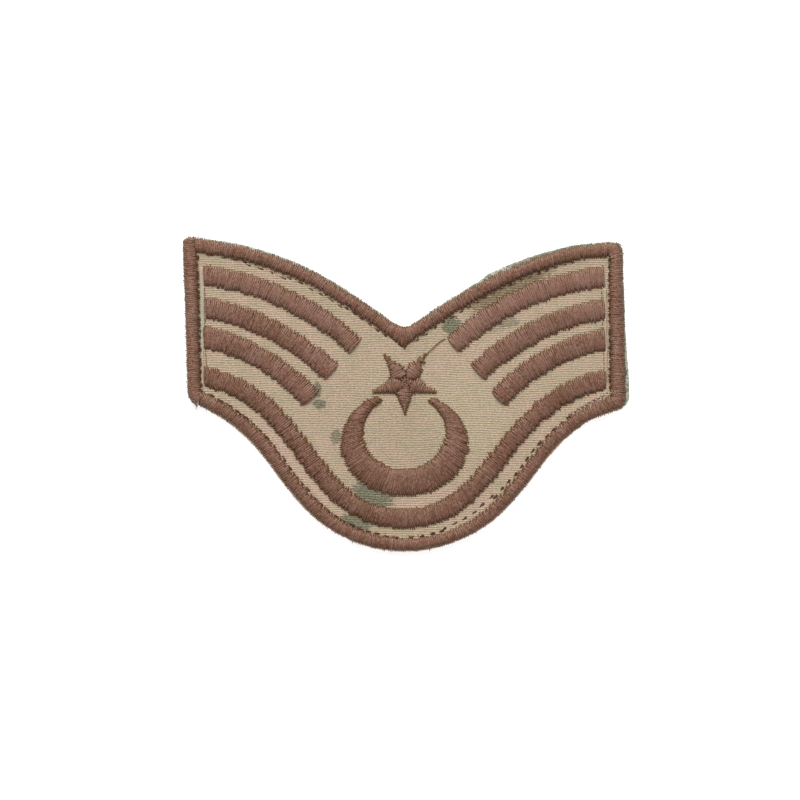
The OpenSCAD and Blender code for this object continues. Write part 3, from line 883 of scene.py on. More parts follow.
def arches(starts, stops, crown, rng, shade, spread, dark, dark_reach):
    """Threads that rise from one hole, lie over the padding and dive into the next."""
    count = len(starts)
    u = (1 - np.cos(np.pi * np.arange(ARCH_STEPS + 1) / ARCH_STEPS)) / 2
    length = np.linalg.norm(stops - starts, axis=1)
    bow = (rng.normal(0, BOW_SHARE, count) * length)[:, None] * np.sin(np.pi * u)
    wriggle = rng.normal(0, WRIGGLE, count)[:, None] * np.sin(3 * np.pi * u)
    plan = bent_lines(starts, stops, u, bow + wriggle)
    turn = np.where(np.arange(count) % 2, 1.0, -1.0)
    rise = crown * np.minimum(1, length / FULL_W) + rng.normal(0, RISE_ERROR, count) + TURN_RISE * turn
    rise = np.maximum(rise, LEAST_RISE)[:, None]
    z = CLOTH_TOP - SINK + (rise + SINK) * (1 - abs(2 * u - 1) ** ARCH_FLAT) ** ARCH_SHOULDER
    near_hole = np.minimum(u, 1 - u) * length[:, None]
    near_low = np.where((stops[:, 1] > starts[:, 1])[:, None], u, 1 - u) * length[:, None]
    taper = THIN_END + (1 - THIN_END) * np.clip(near_hole / TAPER_REACH, 0, 1) ** TAPER_POWER
    # Painted light in the tone: the column's brightness, a slow drift for patches of sheen, and every other
    # thread a little lighter, as out and back threads catch the light differently. The rest of the tone is
    # random.
    slow = drift(rng, np.arange(count) * STITCH_STEP, SLOW_REACH, SLOW_SHEEN)
    tone = shade + slow + spread * (rng.normal(0, 1, count) + TURN_SHEEN * turn)
    # Painted shade: dark near both holes, reaching further at the lower end, which faces away from the
    # window lamp.
    painted_shade = np.maximum(1 - near_hole / dark_reach, LOW_SHADE * (1 - near_low / LOW_REACH))
    painted_shade = np.clip(painted_shade, 0, 1) * np.reshape(dark, (-1, 1))
    wide = THREAD_WIDE * taper * rng.normal(1, WIDE_ERROR, (count, 1))
    return sweep(raised(plan, z), wide, THREAD_HIGH * taper, tone, painted_shade)


def skin(index):
    """Faces between neighbouring rows of a grid of points whose rows are closed rings."""
    ahead = np.roll(index, -1, 1)
    return np.stack([index[:-1], ahead[:-1], ahead[1:], index[1:]], -1).reshape(-1, 4)


def padding_bed(rungs, crown):
    """The low dome of padding stitches below the threads."""
    middle, half = rungs.mean(1), (rungs[:, 0] - rungs[:, 1]) / 2
    width = 2 * np.linalg.norm(half, axis=1)
    half = half * np.maximum(LEAST_BED, 1 - BED_INSET * 2 / width)[:, None]
    z = CLOTH_TOP + BED_RISES * (crown * np.minimum(1, width / FULL_W))[:, None]
    points = raised(middle[:, None] + half[:, None] * BED_SHARES[:, None], z)
    index = np.arange(z.size).reshape(z.shape)
    caps = [index[end, corners][None] for k in range(1, len(BED_SHARES) - 1, 2)
            for end, corners in ((0, [k + 2, k + 1, k, 0]), (-1, [0, k, k + 1, k + 2]))]
    return mesh_part(points, np.concatenate([skin(index), *caps]), 0.0, 1.0, finish=1)


def needle_pits(holes, outward, rng, reach, size, share=1.0, above=0.03):
    """Dark flecks in the cloth at some of the holes, drawn out along the thread. The holes are real, and
    their darkness is painted shade.
    """
    chosen = rng.random(len(holes)) < share
    holes, outward = holes[chosen], outward[chosen]
    far = rng.uniform(*PIT_REACHES, len(holes)) * reach
    u = np.linspace(PIT_FROM, 1, len(PIT_TAPER))
    plan = holes[:, None] + outward[:, None] * far[:, None, None] * u[None, :, None]
    wide = size * rng.uniform(*PIT_WIDTHS, (len(holes), 1)) * PIT_TAPER
    return sweep(raised(plan, (cloth_height(holes) + above)[:, None]), wide, PIT_HIGH, 0.0, 1.0, finish=2)


trial_bed = padding_bed(columns["band"], 1.0)
print("faces of the band's padding:", len(trial_bed["faces"]))

# %% [markdown]
# ## Seventeen columns, no two alike
#
# Columns differ a little in painted light: each is drawn paler or darker to stand for how the light and
# sheen fall on it, the upper bars paler, the band, the crescent and the top and bottom of the border
# darker. They differ too in how far the painted shade at their thread ends reaches, in their stitch
# step, in how much their threads vary and in how ragged their edges are. Five tables give these by the
# beginning of a column's name, and the longest beginning that fits is the one that counts. In the
# star's heart the arms lock into each other, and only a third of their threads keep their painted dark
# ends there.

# %% All the satin of the patch
# Painted light: how much paler or darker each column's thread is drawn, as the light and sheen fall on it.
COLUMN_LIGHT = {"": 0.0, "crescent": -0.8, "band": -0.75, "border_top": -0.65, "border_bottom": -0.6,
          "border_left": -0.1, "border_right": -0.2, "bar_left_upper": 0.25, "bar_left_middle": 0.05,
          "bar_right_upper": 1.3, "bar_right_middle": 0.35}
DARK_REACH = {"": 0.46, "star": 0.7, "crescent": 0.55, "band": 0.58}
STEPS = {"": STITCH_STEP, "border_left": 0.225, "border_right": 0.235, "star": 0.29}
SPREADS = {"": 0.55, "border_left": 0.35, "border_right": 0.45, "crescent": 0.5}
RAGGED = {"": 0.12, "border": 0.07}
ARMS_LOCK, HEART_SOFT, SOFT_DARK, SOFT_SHARE = (-0.1, 0.55), 0.2, 0.15, 0.65
star_middle = np.mean([columns[f"star_arm_{arm}"][0].mean(0) for arm in ARMS], axis=0)


def look(table, name):
    """The entry for the longest beginning of a name that the table knows."""
    return table[max((key for key in table if name.startswith(key)), key=len)]


def satin_column(name, seed):
    """One column of satin stitch in place of its solid. Star arms lock into each other near the middle."""
    rng = np.random.default_rng(seed)
    low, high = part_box(name)
    crown = (high.z - low.z) / MM - THREAD_HIGH
    rungs = columns[name]
    pulls = np.array([name == "border_bottom", name != "border_bottom"]) if "border" in name else np.ones(2)
    holes, outward = needle_holes(rungs, rng, look(RAGGED, name), pulls, look(STEPS, name))
    dark = np.ones(len(holes) - 1)
    if name.startswith("star"):
        inner = np.linalg.norm(holes - star_middle, axis=1) < STAR_NOTCH_R - HEART_SOFT
        holes = holes + outward * (inner * rng.uniform(*ARMS_LOCK, len(holes)))[:, None]
        softer = rng.choice([SOFT_DARK, 1.0], len(dark), p=[SOFT_SHARE, 1 - SOFT_SHARE])
        dark = np.where(inner[:-1], softer, 1.0)
    threads = arches(holes[:-1], holes[1:], crown, rng, look(COLUMN_LIGHT, name), look(SPREADS, name), dark,
                     look(DARK_REACH, name))
    pits = needle_pits(holes, outward, rng, 0.26, 1.05, share=0.65)
    thread = figure_thread if name.startswith(("star", "crescent")) else satin_thread
    piece = build_piece(f"{name}_satin", [threads, padding_bed(rungs, crown), pits],
                        [thread, padding_shade, pit_shade])
    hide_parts(name)
    return piece


satin = [satin_column(name, seed) for seed, name in enumerate(columns)]
print("satin triangles:", sum(triangles(piece) for piece in satin))

# %% [markdown]
# ## Small stitches and loose ends
#
# Satin is not all that the machine has sewn. The tacking shows as short dark dashes with needle holes,
# some holes stay as bare dots, and between the bars the thread travels in plain stitches. One long jump
# leads from the star to a bar, and in the star's heart short dark threads cross. Each kind is a short
# table of where it runs, and a row of dots is a start, a stop and how many there are.

# %% Short stitches on the open cloth
TRAVELS = [((-46.2, 24.7), (-46.2, 21.6)), ((-46.15, 17.6), (-46.1, 14.3)), ((-46.0, 10.8), (-45.8, 6.9)),
           ((45.1, 24.2), (45.2, 20.8)), ((45.3, 16.8), (45.35, 14.0)), ((45.5, 10.0), (45.6, 5.6))]
JUMP = [(4.4, 8.9), (6.3, 10.8), (7.9, 12.25), (9.2, 13.0)]
DOTS = [((-38.9, -3.7), (-35.6, -5.9), 5), ((3.0, -32.4), (1.0, -32.5), 3)]
STAR_HOLES = [(-0.2, 5.4), (-0.1, 4.6), (-0.2, 3.7), (2.2, 3.8), (-3.6, 3.9), (-2.1, 0.4), (2.0, 0.1),
              (1.0, 1.7), (1.4, 0.8), (-0.6, 2.9), (0.5, 3.1), (1.3, 2.7), (0.1, 2.2)]
STAR_TOP, KNOT_AT, HEART_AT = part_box("star_arm_down")[1].z / MM, (0.15, -0.2), (0.25, -0.1)
KNOT_THREADS, KNOT_R, KNOT_LENGTHS = 26, 0.9, (0.3, 0.7)
HEART_THREADS, HEART_R, HEART_LENGTHS = 14, 0.55, (0.25, 0.5)
LAID_STEPS, LAID_BEND, LAID_THIN, LAID_FLAT, LAID_DARK, LAID_TONES = 7, 0.04, 0.55, 0.6, 0.3, 0.5
JUMP_LIFT, JUMP_ARCH = 0.12, 0.1


def laid_stitches(starts, stops, rng, wide=0.13, rise=0.1, sink=0.08, finish=0, dark=0.8, base=None,
                  tone=0.0):
    """Short stitches that lie on what is below them and dive into it at both ends."""
    base = cloth_height((starts + stops) / 2) if base is None else np.full(len(starts), base)
    u = np.linspace(0, 1, LAID_STEPS)
    plan = bent_lines(starts, stops, u, rng.normal(0, LAID_BEND, (len(starts), 1)) * np.sin(np.pi * u))
    hump = np.sin(np.pi * u) ** 0.5
    near = np.minimum(u, 1 - u) * np.linalg.norm(stops - starts, axis=1)[:, None]
    taper = LAID_THIN + (1 - LAID_THIN) * hump
    painted_shade = np.clip(1 - near / LAID_DARK, 0, 1) * dark
    return sweep(raised(plan, base[:, None] - sink + (rise + sink) * hump), wide * taper,
                 wide * LAID_FLAT * taper, rng.normal(tone, LAID_TONES, len(starts)), painted_shade, finish)


def seam_stitches(rng):
    """Tacking with its needle holes, dots, travel stitches and the jump thread."""
    parts = []
    for row, (starts, stops) in zip(TACKS, tacks):
        size = 1.0 if row[0] == "border_bottom" else 0.75
        parts.append(laid_stitches(starts, stops, rng, wide=0.15 * size, dark=1.0, rise=0.05, tone=-1.5))
        # Painted shade: each tack ends in a dark needle pit.
        parts.append(needle_pits(stops, unit(starts - stops), rng, 1.25 * size, 2.3 * size, above=0.08))
    for start, stop, count in DOTS:
        dots = np.linspace(start, stop, count)
        along = np.tile(unit(dots[1] - dots[0]), (count, 1))
        parts.append(needle_pits(dots, along, rng, 0.4, 1.8, above=0.05))
    for line in np.array(TRAVELS):
        places, _ = even_steps(line, 1.0)
        parts.append(laid_stitches(places[:-1], places[1:], rng, wide=0.1, dark=0.3, finish=1))
    jump, at = even_steps(np.array(JUMP), 0.5)
    height = CLOTH_TOP + JUMP_LIFT + JUMP_ARCH * np.sin(np.pi * at / at[-1])
    return [*parts, sweep(raised(jump, height)[None], 0.115, 0.08, 0.6, 0.3)]


def star_knot(rng):
    """Threads that cross in the middle of the star, where the five arms meet, and the holes between them."""
    angle, reach = rng.uniform(0, math.tau, KNOT_THREADS), KNOT_R * np.sqrt(rng.random(KNOT_THREADS))
    middle = star_middle + (reach[:, None] * toward(angle) + KNOT_AT)
    half = toward(rng.uniform(0, math.pi, KNOT_THREADS)) * rng.uniform(*KNOT_LENGTHS, (KNOT_THREADS, 1))
    holes = np.array(STAR_HOLES) + rng.normal(0, 0.06, (len(STAR_HOLES), 2))
    lean = unit(rng.normal(0, 1, holes.shape))
    pits = needle_pits(holes, lean, rng, 0.45, 1.6, above=STAR_TOP - CLOTH_TOP - 0.05)
    top = {"sink": 0.3, "dark": 1.0, "finish": 1}
    threads = laid_stitches(middle - half, middle + half, rng, wide=0.15, base=STAR_TOP - 0.12, **top)
    heart = star_middle + np.array(HEART_AT) + rng.uniform(-1, 1, (HEART_THREADS, 2)) * HEART_R
    half = unit(rng.normal(0, 1, heart.shape)) * rng.uniform(*HEART_LENGTHS, (HEART_THREADS, 1))
    dark = laid_stitches(heart - half, heart + half, rng, wide=0.1, base=STAR_TOP - 0.06, tone=-3.0, **top)
    return [threads, dark, pits]


small_finishes = [needle_thread, satin_thread, pit_shade]
seams = build_piece("seam_stitches", seam_stitches(np.random.default_rng(61)), small_finishes)
knot = build_piece("star_knot", star_knot(np.random.default_rng(62)), small_finishes)
print("small stitches:", triangles(seams) + triangles(knot), "triangles")

# %% [markdown]
# ## Corners and frayed edges
#
# The places that show a thing was sewn are its corners. At two corners of the border a few grey
# stitches laid over it are painted shade, for the shaded side of the border's wrap. Pale tails stick
# out, and the row of needle holes along each side is pulled open, the holes drawn dark as painted
# shade. In the lower right the tacking swells into a pale rope, with dark stitches between its beads
# as painted shadow. Round the upper edge the cut cloth has frayed into fibres far thinner than a
# thread, which blur the outline.
# A tail's row is its start, its stop and half its width, and a shaded corner is stitched between two
# lines. A row of fuzz is a start, a stop, a count and a length, and a row of corner mess is a middle,
# how far it spreads and a count. A row of fray is the chance of a fibre, its length, half its width and
# the number of its finish.

# %% Needle holes, tails and fibres
HOLE_PITCH, HOLES_FROM, HOLES_TO, HOLE_LIFT = 1.55, 0.5, 32.0, 0.38
ROPE = ("border_bottom", 0, 37.5, 46.2, 0.62, 0.75, 1.0, 0.85)
ROPE_SHADOW = ("border_bottom", 0, 37.2, 46.0, 0.25, 0.35, 1.05, 0.35)
ROPE_SLANT, SHADE_STITCHES, HOLE_ERRORS = 0.16, 8, (0.05, 0.2)
TAIL_LIFT, TAIL_DROP, MESS_LEANS, MESS_LENGTHS = 0.75, 0.3, (0.3, 1.2), (0.25, 0.6)
TAILS = [((-47.4, -0.8), (-48.2, -3.4), 0.15), ((47.2, 34.9), (47.25, 32.6), 0.07),
         ((-47.6, 36.1), (-47.7, 37.1), 0.06), ((46.7, 35.0), (46.6, 35.8), 0.09),
         ((-7.4, 0.7), (-7.6, -0.2), 0.09)]
CORNER_SHADE = [
    ([(-49.8, -0.6), (-49.45, -1.3), (-48.85, -1.85), (-48.15, -2.4)], [(-47.5, -1.1), (-47.85, -2.6)]),
    ([(48.8, 34.9), (49.3, 34.7), (49.8, 34.0), (49.95, 33.2)], [(48.9, 34.2), (49.2, 33.3)])]
FUZZ = [((-50.5, 36.0), (-48.0, 36.05), 40, 0.75), ((-48.0, 35.9), (-46.4, 35.9), 14, 0.6),
        ((48.9, 35.0), (49.9, 34.3), 12, 0.45)]
CORNER_MESS = [((48.7, 0.9), (1.4, 0.35), 9), ((49.9, 32.2), (0.3, 0.4), 4), ((47.9, 32.0), (0.8, 0.5), 3)]
EDGE_FRAY = [(0.9, 0.55, 0.035, 0), (0.5, 0.4, 0.04, 1)]
FRAY_ABOVE, FRAY_FACING, FRAY_OUT, FRAY_STEP = 17.0, 0.5, 0.15, 0.25
FIBRE_LEAN, FIBRE_LENGTHS, FIBRE_CURL, FIBRE_HEIGHTS, FIBRE_TONES = 0.6, (0.3, 1.0), 0.15, (0.4, 1.3), 0.6


def side_holes(rng):
    """The opened needle holes along the inner edge of both side columns."""
    parts = []
    for name, inward in (("border_left", 0.05), ("border_right", -0.05)):
        rail, _ = even_steps(columns[name][:, 1], HOLE_PITCH)
        rail = rail[(rail[:, 1] > HOLES_FROM) & (rail[:, 1] < HOLES_TO)]
        rail = rail + np.column_stack(
            [rng.normal(middle, error, len(rail)) for middle, error in zip((inward, 0), HOLE_ERRORS)])
        upright = np.tile([0.0, 1.0], (len(rail), 1))
        parts.append(needle_pits(rail, upright, rng, 0.95, 2.6, above=HOLE_LIFT))
    return parts


def fibres(rng, places, outward, length, wide, finish):
    """Thin bent fibres that stick out from the places."""
    count = len(places)
    lean = unit(outward + rng.normal(0, FIBRE_LEAN, (count, 2)))
    span = lean * rng.uniform(*FIBRE_LENGTHS, (count, 1)) * length
    u = np.linspace(0, 1, 5)
    curl = left_of(lean) * rng.normal(0, FIBRE_CURL, (count, 1))
    plan = places[:, None] + span[:, None] * u[:, None] + curl[:, None] * (u ** 2)[:, None]
    z = rng.uniform(*FIBRE_HEIGHTS, (count, 1)) * CLOTH_TOP
    return sweep(raised(plan, z), wide * (1 - 0.6 * u), wide, rng.normal(0, FIBRE_TONES, count), 0.0, finish)


def corner_threads(rng):
    """Tails, shaded corners, a mess of short threads and frayed fibres along the upper edge."""
    parts, u = [], np.linspace(0, 1, 6)
    for start, stop, wide in TAILS:
        tail = np.array(start) + np.subtract(stop, start) * u[:, None]
        tail = raised(tail, CLOTH_TOP + TAIL_LIFT - TAIL_DROP * u)
        parts.append(sweep(tail[None], wide * (1 - 0.7 * u ** 2), wide * (1 - 0.5 * u), 0.3))
    # Painted shade: grey stitches laid over two corners of the border stand for the shaded side of its wrap.
    share = np.linspace(0, 1, SHADE_STITCHES)
    for lines in CORNER_SHADE:
        lines = (even_steps(np.array(line), 1.0)[0] for line in lines)
        ends = (places_at(share, np.linspace(0, 1, len(line)), line) for line in lines)
        parts.append(laid_stitches(
            *ends, rng, wide=0.2, rise=0.62, sink=0.3, dark=0.3, finish=1, base=CLOTH_TOP))
    for middle, spread, count in CORNER_MESS:
        places = np.array(middle) + rng.uniform(-1, 1, (count, 2)) * spread
        lean = rng.uniform(*MESS_LEANS, count) * rng.choice([-1, 1], count)
        half = toward(lean) * rng.uniform(*MESS_LENGTHS, (count, 1))
        parts.append(laid_stitches(
            places - half, places + half, rng, wide=0.07, rise=0.85, sink=-0.6, dark=0.4, base=CLOTH_TOP))
    for start, stop, count, length in FUZZ:
        places = np.array(start) + np.subtract(stop, start) * rng.random((count, 1))
        upwards = np.tile([0.0, 1.0], (count, 1))
        parts.append(fibres(rng, places + rng.normal(0, 0.1, places.shape), upwards, length, 0.045, 1))
    edge, _ = even_steps(border_edge, FRAY_STEP, closed=True)
    outward = outwards(edge)
    upper = (edge[:, 1] > FRAY_ABOVE) & (abs(outward[:, 1]) > FRAY_FACING)
    for chance, length, wide, finish in EDGE_FRAY:
        chosen = upper & (rng.random(len(edge)) < chance)
        places = edge[chosen] + outward[chosen] * FRAY_OUT
        parts.append(fibres(rng, places, outward[chosen], length, wide, finish))
    return parts


def rope(rng):
    """Slanted pale stitches in a row, and dark stitches between them that are painted shadow."""
    starts, stops, along = beside_edge(ROPE, rng)
    slant = left_of(along) * ROPE_SLANT
    beads = laid_stitches(starts - slant, stops + slant, rng, wide=0.27, rise=0.2, dark=0.75, tone=1.8)
    starts, stops, _ = beside_edge(ROPE_SHADOW, rng)
    return [beads, laid_stitches(starts, stops, rng, wide=0.08, rise=0.05, dark=0.6, finish=2)]


build_piece("side_needle_holes", side_holes(np.random.default_rng(63)), small_finishes)
corner_rng = np.random.default_rng(64)
corners = build_piece("corner_threads", [*rope(corner_rng), *corner_threads(corner_rng)],
                      [pale_thread, fibre_and_shade_thread, needle_thread])
print("corner threads:", triangles(corners), "triangles")

# %% [markdown]
# ## The ribbed cloth
#
# The ribs run straight across the patch. At this size they are shapes and not a texture, so we lay a
# grid of rows over the outline with four rows to each rib. Each wing of the outline is an outer and an
# inner chain of points that only rise, so every row simply runs from one chain to the other, and the
# two halves meet on a middle line.

# %% Rows of cloth between the chains of each wing
ROWS_PER_RIB, ACROSS, TUCK = 4, 80, 1.2

tucked = grown(border_edge, -TUCK)
bottom_point, notch_point = tucked[bottom_at], tucked[notch_at]
wings = {"left": np.concatenate([tucked[bottom_at:], tucked[:notch_at + 1]]),
         "right": tucked[notch_at:bottom_at + 1][::-1]}
rows_y = np.unique(np.concatenate([
    np.arange(tucked[:, 1].min(), tucked[:, 1].max(), RIB / ROWS_PER_RIB), [notch_point[1]],
    [wing[:, 1].max() for wing in wings.values()]]))


def row_ends(wing):
    """Where each row of one wing starts and stops, from its lowest to its highest point."""
    peak = wing[:, 1].argmax()
    outer, inner = wing[:peak + 1], np.concatenate([[wing[0]], wing[peak:][::-1]])
    y = rows_y[(rows_y >= bottom_point[1]) & (rows_y <= wing[peak, 1])]
    return y, *(np.interp(y, np.maximum.accumulate(chain[:, 1]), chain[:, 0]) for chain in (outer, inner))


for side, wing in wings.items():
    y, outer_x, inner_x = row_ends(wing)
    print(side, "wing:", len(y), "rows, widest", round(float(abs(outer_x - inner_x).max()), 1), "mm")

# %% [markdown]
# ## From rows to a closed shell
#
# Nobody sees the back, but the cloth is a solid thing, so its mesh is closed as well. Each row of the
# top has one long flat face below it, and walls join the two at the outer edge and at the notch. The
# two wings are welded on the middle line when the piece is built.

# %% Each wing as a closed shell
def wing_shell(wing, rising):
    """One wing as rows on top, long flat faces below and a wall between them."""
    y, outer_x, inner_x = row_ends(wing)
    x = outer_x[:, None] + (inner_x - outer_x)[:, None] * np.linspace(0, 1, ACROSS + 1)
    height, near, ribs, groove = cloth_surface(x, np.broadcast_to(y[:, None], x.shape))
    top = np.stack([x, y[:, None] + waves(x, y[:, None], WANDER), height], -1)
    weave = np.stack([x, ribs, groove], -1)
    both = [np.concatenate([field.reshape(-1, 3), (field[:, [0, -1]] * flat).reshape(-1, 3)])
            for field, flat in ((top, [1, 1, 0]), (weave, 1))]
    index = np.arange(x.size).reshape(x.shape)
    below = x.size + np.arange(2 * len(y)).reshape(-1, 2)
    above = np.nonzero(y >= notch_point[1])[0][:-1]
    faces = np.concatenate([
        np.stack([index[:-1, :-1], index[:-1, 1:], index[1:, 1:], index[1:, :-1]], -1).reshape(-1, 4),
        np.stack([below[:-1, 0], below[1:, 0], below[1:, 1], below[:-1, 1]], -1),
        np.stack([index[:-1, 0], index[1:, 0], below[1:, 0], below[:-1, 0]], -1),
        np.stack([index[above, -1], below[above, 1], below[above + 1, 1], index[above + 1, -1]], -1)])
    # Closeness to a column goes into the cut attribute as a negative value, where the finish paints shade.
    near = np.concatenate([-near.ravel(), np.zeros(2 * len(y))])
    return mesh_part(both[0], faces if rising else faces[:, ::-1], both[1], near)


shells = [wing_shell(wings["left"], True), wing_shell(wings["right"], False)]
print("cloth rows:", len(rows_y), "faces:", sum(len(shell["faces"]) for shell in shells))

# %% [markdown]
# ## The cut edge and two folds
#
# Round the patch the cloth was cut by hand, close to the border, and the cut left a frayed rim, wide in
# some places and hardly there in others. Beside each side column the cloth is pinched into a fold that
# shows as a smooth pale strip without ribs. The cut widths are marks round the patch: x, y and the
# width there. A rim row says how far outside the border its ring starts, which share of the cut width
# is added to that, its height as a share of the cloth's, and how rough it is. A fold's row is the
# points of its line and half its width at both ends.

# %% Rim and folds
CUT_STEP, CUT_SWAY, CUT_ERROR, SHADED_BELOW = 0.2, (1.4, 0.05), 0.035, -3
FOLD_STEP, FOLD_SWAY, FOLD_SWELL, FOLD_LIFT, FOLD_HIGH = 0.5, (2.0, 0.04), (1.5, 0.04), 0.02, 0.16
CUT_WIDTHS = [
    (-50.2, 35.6, 0.15), (-44, 34.8, 0.35), (-35, 31.8, 0.45), (-24, 26.6, 0.35), (-12, 19.4, 0.15),
    (0, 14, 0.05), (14, 21.5, 0.12), (17.5, 24.3, 0.4), (20, 26, 0.9), (22, 27.3, 0.95), (26, 29.6, 0.75),
    (30, 31.5, 0.62), (34, 32.6, 0.52), (38, 34, 0.4), (43, 34.9, 0.2), (50, 30, 0.12), (50, 18, 0.2),
    (50.3, 11, 0.45), (50.6, 4, 0.72), (50.9, -0.5, 0.7), (49, -3.5, 0.25), (44, -5, 0.05), (38, -9.5, 0.2),
    (33.5, -14.5, 0.28), (27, -20, 0.15), (20.5, -27.7, 0.15), (12, -33.7, -0.05), (-12, -33.5, -0.05),
    (-22, -27, 0.1), (-25, -24.5, 0.3), (-31, -16.5, 0.15), (-34, -13, 0.32), (-38, -9.5, 0.28),
    (-42, -5.5, 0.2), (-47, -3.2, 0.1), (-50, 5, -0.02), (-50.3, 20, -0.02)]
RIM_ROWS = [(-1.8, 0, 0.03, 0), (-0.2, 0.6, 0.0, 0.02), (-0.03, 1, 0.3, 0.03), (0, 1, 0.65, 0.04),
            (-0.15, 0.8, 0.93, 0.03), (-1.0, 0, 0.98, 0)]
FOLDS = [([(-46.9, 29.3), (-46.75, 20.0), (-46.75, 10.0), (-46.75, 1.0)], 0.64, 0.4),
         ([(45.9, 24.6), (46.05, 15.0), (46.2, 6.0), (46.4, 0.3)], 0.42, 0.3)]


def weave_beside(points, groove):
    """The weave attribute of cloth beside the rows, where all grooves are equally deep."""
    x, y = points.reshape(-1, 3)[:, :2].T
    return np.stack([x, y / RIB, np.full(len(x), groove)], 1)


def cut_edge(seed):
    """A closed ring of cloth along the border's outer edge, with a ragged outer side."""
    rng = np.random.default_rng(seed)
    edge, at = even_steps(border_edge, CUT_STEP, closed=True)
    marks = np.array([(np.linalg.norm(edge - (x, y), axis=1).argmin() * CUT_STEP, width)
                      for x, y, width in CUT_WIDTHS])
    marks = marks[marks[:, 0].argsort()]
    width = np.interp(at, marks[:, 0], marks[:, 1], period=len(edge) * CUT_STEP)
    width += drift(rng, at, *CUT_SWAY) + rng.normal(0, CUT_ERROR, len(at))
    rings = [raised(grown(edge, start + share * width + rng.normal(0, 1, len(at)) * rough), z * CLOTH_TOP)
             for start, share, z, rough in RIM_ROWS]
    points = np.stack(rings, 1)
    index = np.arange(points.size // 3).reshape(points.shape[:2])
    shade = np.repeat(np.where(edge[:, 1] > SHADED_BELOW, 1.0, 0.5), len(RIM_ROWS))
    return mesh_part(points, skin(np.concatenate([index, index[:1]])), weave_beside(points, 1.0), shade)


def side_fold(corners, wide_from, wide_to):
    """A smooth low ridge of cloth beside a side column."""
    rng = np.random.default_rng(51)
    line, at = even_steps(np.array(corners), FOLD_STEP)
    line[:, 0] += drift(rng, at, *FOLD_SWAY)
    wide = np.interp(at, [0, at[-1]], [wide_from, wide_to]) + drift(rng, at, *FOLD_SWELL)
    ridge = sweep(raised(line, CLOTH_TOP + FOLD_LIFT)[None], wide[None], FOLD_HIGH, 0.0)
    return mesh_part(ridge["points"], ridge["faces"], weave_beside(ridge["points"], 0.0), 0.0)


cloth_parts = [*shells, cut_edge(50), *(side_fold(*fold) for fold in FOLDS)]
print("faces of rim and folds:", [len(part["faces"]) for part in cloth_parts[2:]])

# %% [markdown]
# ## Cloth finish
#
# The print is a camouflage of tan, pinkish sand and green, of which this cut shows little more than
# the tans. The grooves between the ribs are drawn darker as painted shade, cloth right beside a column
# is drawn brown as the painted shade of the raised satin, and warp threads that cross the grooves make
# fine pale specks.
# A row of the print is a colour, the middle of the blotch, half its size, its tilt and its strength.

# %% Ribbed cotton with a faint print
SAND, KHAKI, PALE_KHAKI = (0.515, 0.362, 0.273), (0.405, 0.349, 0.223), (0.475, 0.400, 0.263)
PINK, OLIVE, CONTACT_SHADE_BROWN = (0.56, 0.372, 0.30), (0.205, 0.145, 0.085), (0.28, 0.16, 0.08)
GREEN, GREY_GREEN = (0.12, 0.135, 0.085), (0.45, 0.46, 0.35)
GROOVE_SHADE_TINT, YARN_TINT = (0.62, 0.60, 0.55), (1.43, 1.53, 1.6)
RIM_PALE, RIM_GREY, RIM_WARM = (0.46, 0.48, 0.39), (0.18, 0.18, 0.135), (0.85, 0.66, 0.54)
PRINT = [
    (PINK, (-24.3, -17.3), (17.0, 2.6), 43, 0.4), (PINK, (8.0, -25.0), (14.0, 3.5), 0, 0.3),
    (PINK, (28.0, -6.0), (9.0, 6.0), 0, 0.1), (PINK, (-31.0, 15.0), (13.0, 5.0), 0, 0.15),
    # The olive rows darken the cloth between the top border and the upper right bar, inside the crescent and
    # left of it.
    (OLIVE, (23.4, 24.2), (9.4, 3.5), -24, 1.0), (OLIVE, (31.5, 28.0), (3.5, 0.9), -22, 0.5),
    (OLIVE, (0.0, -9.5), (8.5, 8.0), 0, 0.1), (OLIVE, (-14.0, -3.0), (6.0, 8.0), 0, 0.05),
    (GREEN, (-20.2, 1.1), (0.9, 1.8), 0, 0.9), (GREEN, (-19.8, -2.1), (1.5, 1.1), 0, 0.9),
    (GREEN, (-16.0, -9.7), (1.2, 1.6), 0, 0.75), (GREEN, (-7.5, -23.0), (4.8, 2.5), 20, 0.95),
    (GREEN, (-11.3, -29.6), (3.5, 2.0), 25, 0.9), (GREEN, (10.6, 16.0), (2.1, 2.1), 0, 0.95),
    (GREEN, (23.4, 16.9), (2.6, 1.4), 0, 0.6), (GREEN, (20.8, 15.5), (2.4, 1.3), 0, 0.35),
    (GREY_GREEN, (-47.0, 18.0), (0.8, 9.0), 0, 0.4), (PALE_KHAKI, (14.5, -3.5), (9.0, 9.0), 0, 0.45)]
DIM_RIM = ((32.5, 32.9), (9.5, 1.7), -15)


def blotch(tree, middle, half_size, tilt):
    return place_group(tree, "Printed blotch", middle=(*middle, 0.0), half_size=(*half_size, 1.0),
                       tilt=math.radians(tilt))


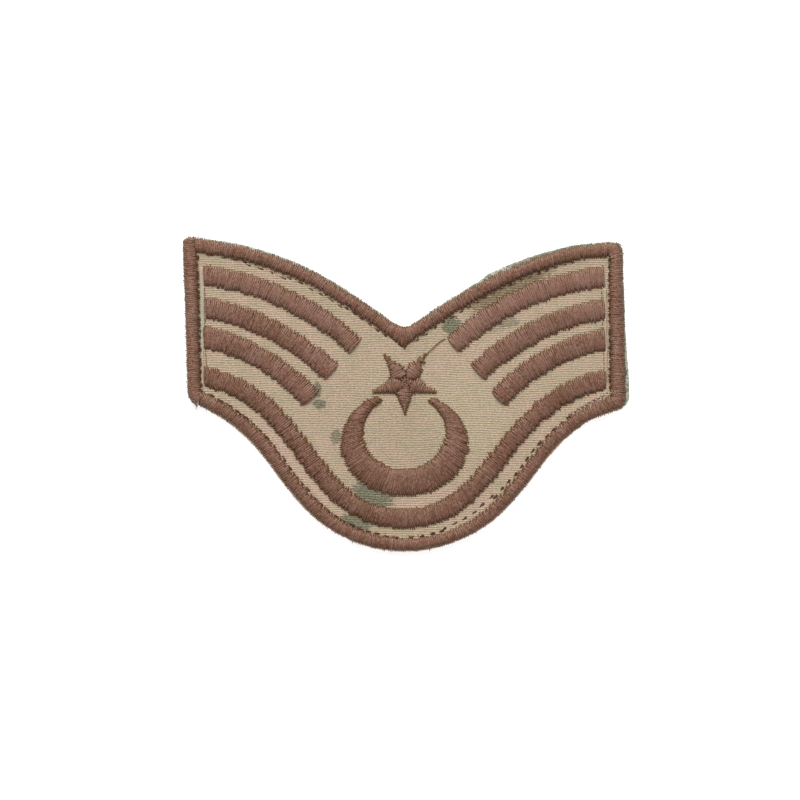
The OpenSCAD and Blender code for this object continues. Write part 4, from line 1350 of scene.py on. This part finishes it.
def cloth_finish():
    material, tree, shader = new_finish("ground_cloth", 0.85, 0.15, 0.2)
    along, rib, groove = node(tree, "SeparateXYZ", {0: attribute(tree, "weave")}).outputs
    cut = attribute(tree, "cut", "Fac")
    ridge = calculate(tree, "COSINE", times(tree, rib, math.tau))

    def on_ribs(stretch, scale, detail):
        place = node(tree, "CombineXYZ", {0: times(tree, along, stretch), 1: rib}).outputs[0]
        return noise(tree, place, scale, detail)

    streaks = soft_step(tree, on_ribs(0.12, 0.9, 1.0), 0.35, 0.65, 0.0, 0.4)
    specks = on_ribs(1.3, 1.6, 2.0)
    zones = calculate(tree, "ADD", times(tree, dye(tree, 3.0, 3.0), 0.5), streaks)
    colour = blend_colours(tree, zones, SAND, KHAKI)
    worn = soft_step(tree, specks, 0.35, 0.68, 1.0, 0.66)
    for shade, middle, half_size, tilt, strength in PRINT:
        mask = times(tree, times(tree, blotch(tree, middle, half_size, tilt), worn), strength)
        colour = blend_colours(tree, mask, colour, shade)
    yarns = soft_step(tree, specks, 0.45, 0.68, 0.0, 0.55)
    # Painted shade: the grooves between the ribs are drawn darker, as the shade that falls in them.
    deep = soft_step(tree, times(tree, ridge, groove), 0.5, -1.0)
    deep = times(tree, deep, soft_step(tree, specks, 0.3, 0.6, 0.68, 0.22))
    for share, tint in ((yarns, YARN_TINT), (deep, GROOVE_SHADE_TINT)):
        colour = blend_colours(tree, share, colour, tint, "MULTIPLY")
    # Painted shade: close to a column the cloth turns brown, as the shade beside the raised satin.
    colour = blend_colours(tree, soft_step(tree, cut, -0.88, -1.0, 0.0, 0.4), colour, CONTACT_SHADE_BROWN)
    rim = blend_colours(tree, soft_step(tree, dye(tree, 0.7, 2.0), 0.35, 0.9), RIM_PALE, RIM_GREY)
    rim = blend_colours(tree, soft_step(tree, cut, 0.55, 0.95), RIM_WARM, rim)
    rim = blend_colours(tree, times(tree, blotch(tree, *DIM_RIM), 0.75), rim, RIM_GREY)
    colour = blend_colours(tree, soft_step(tree, cut, 0.0, 0.5, 0.0, 0.85), colour, rim)
    cover(tree, shader, colour, calculate(tree, "ADD", times(tree, ridge, 0.4), specks), 0.5, 0.06)
    return material


ground_cloth = build_piece(
    "ribbed_cloth", cloth_parts, [cloth_finish()], ("weave", "cut"), weld=True)
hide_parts("ground_cloth")
print("cloth triangles:", triangles(ground_cloth))
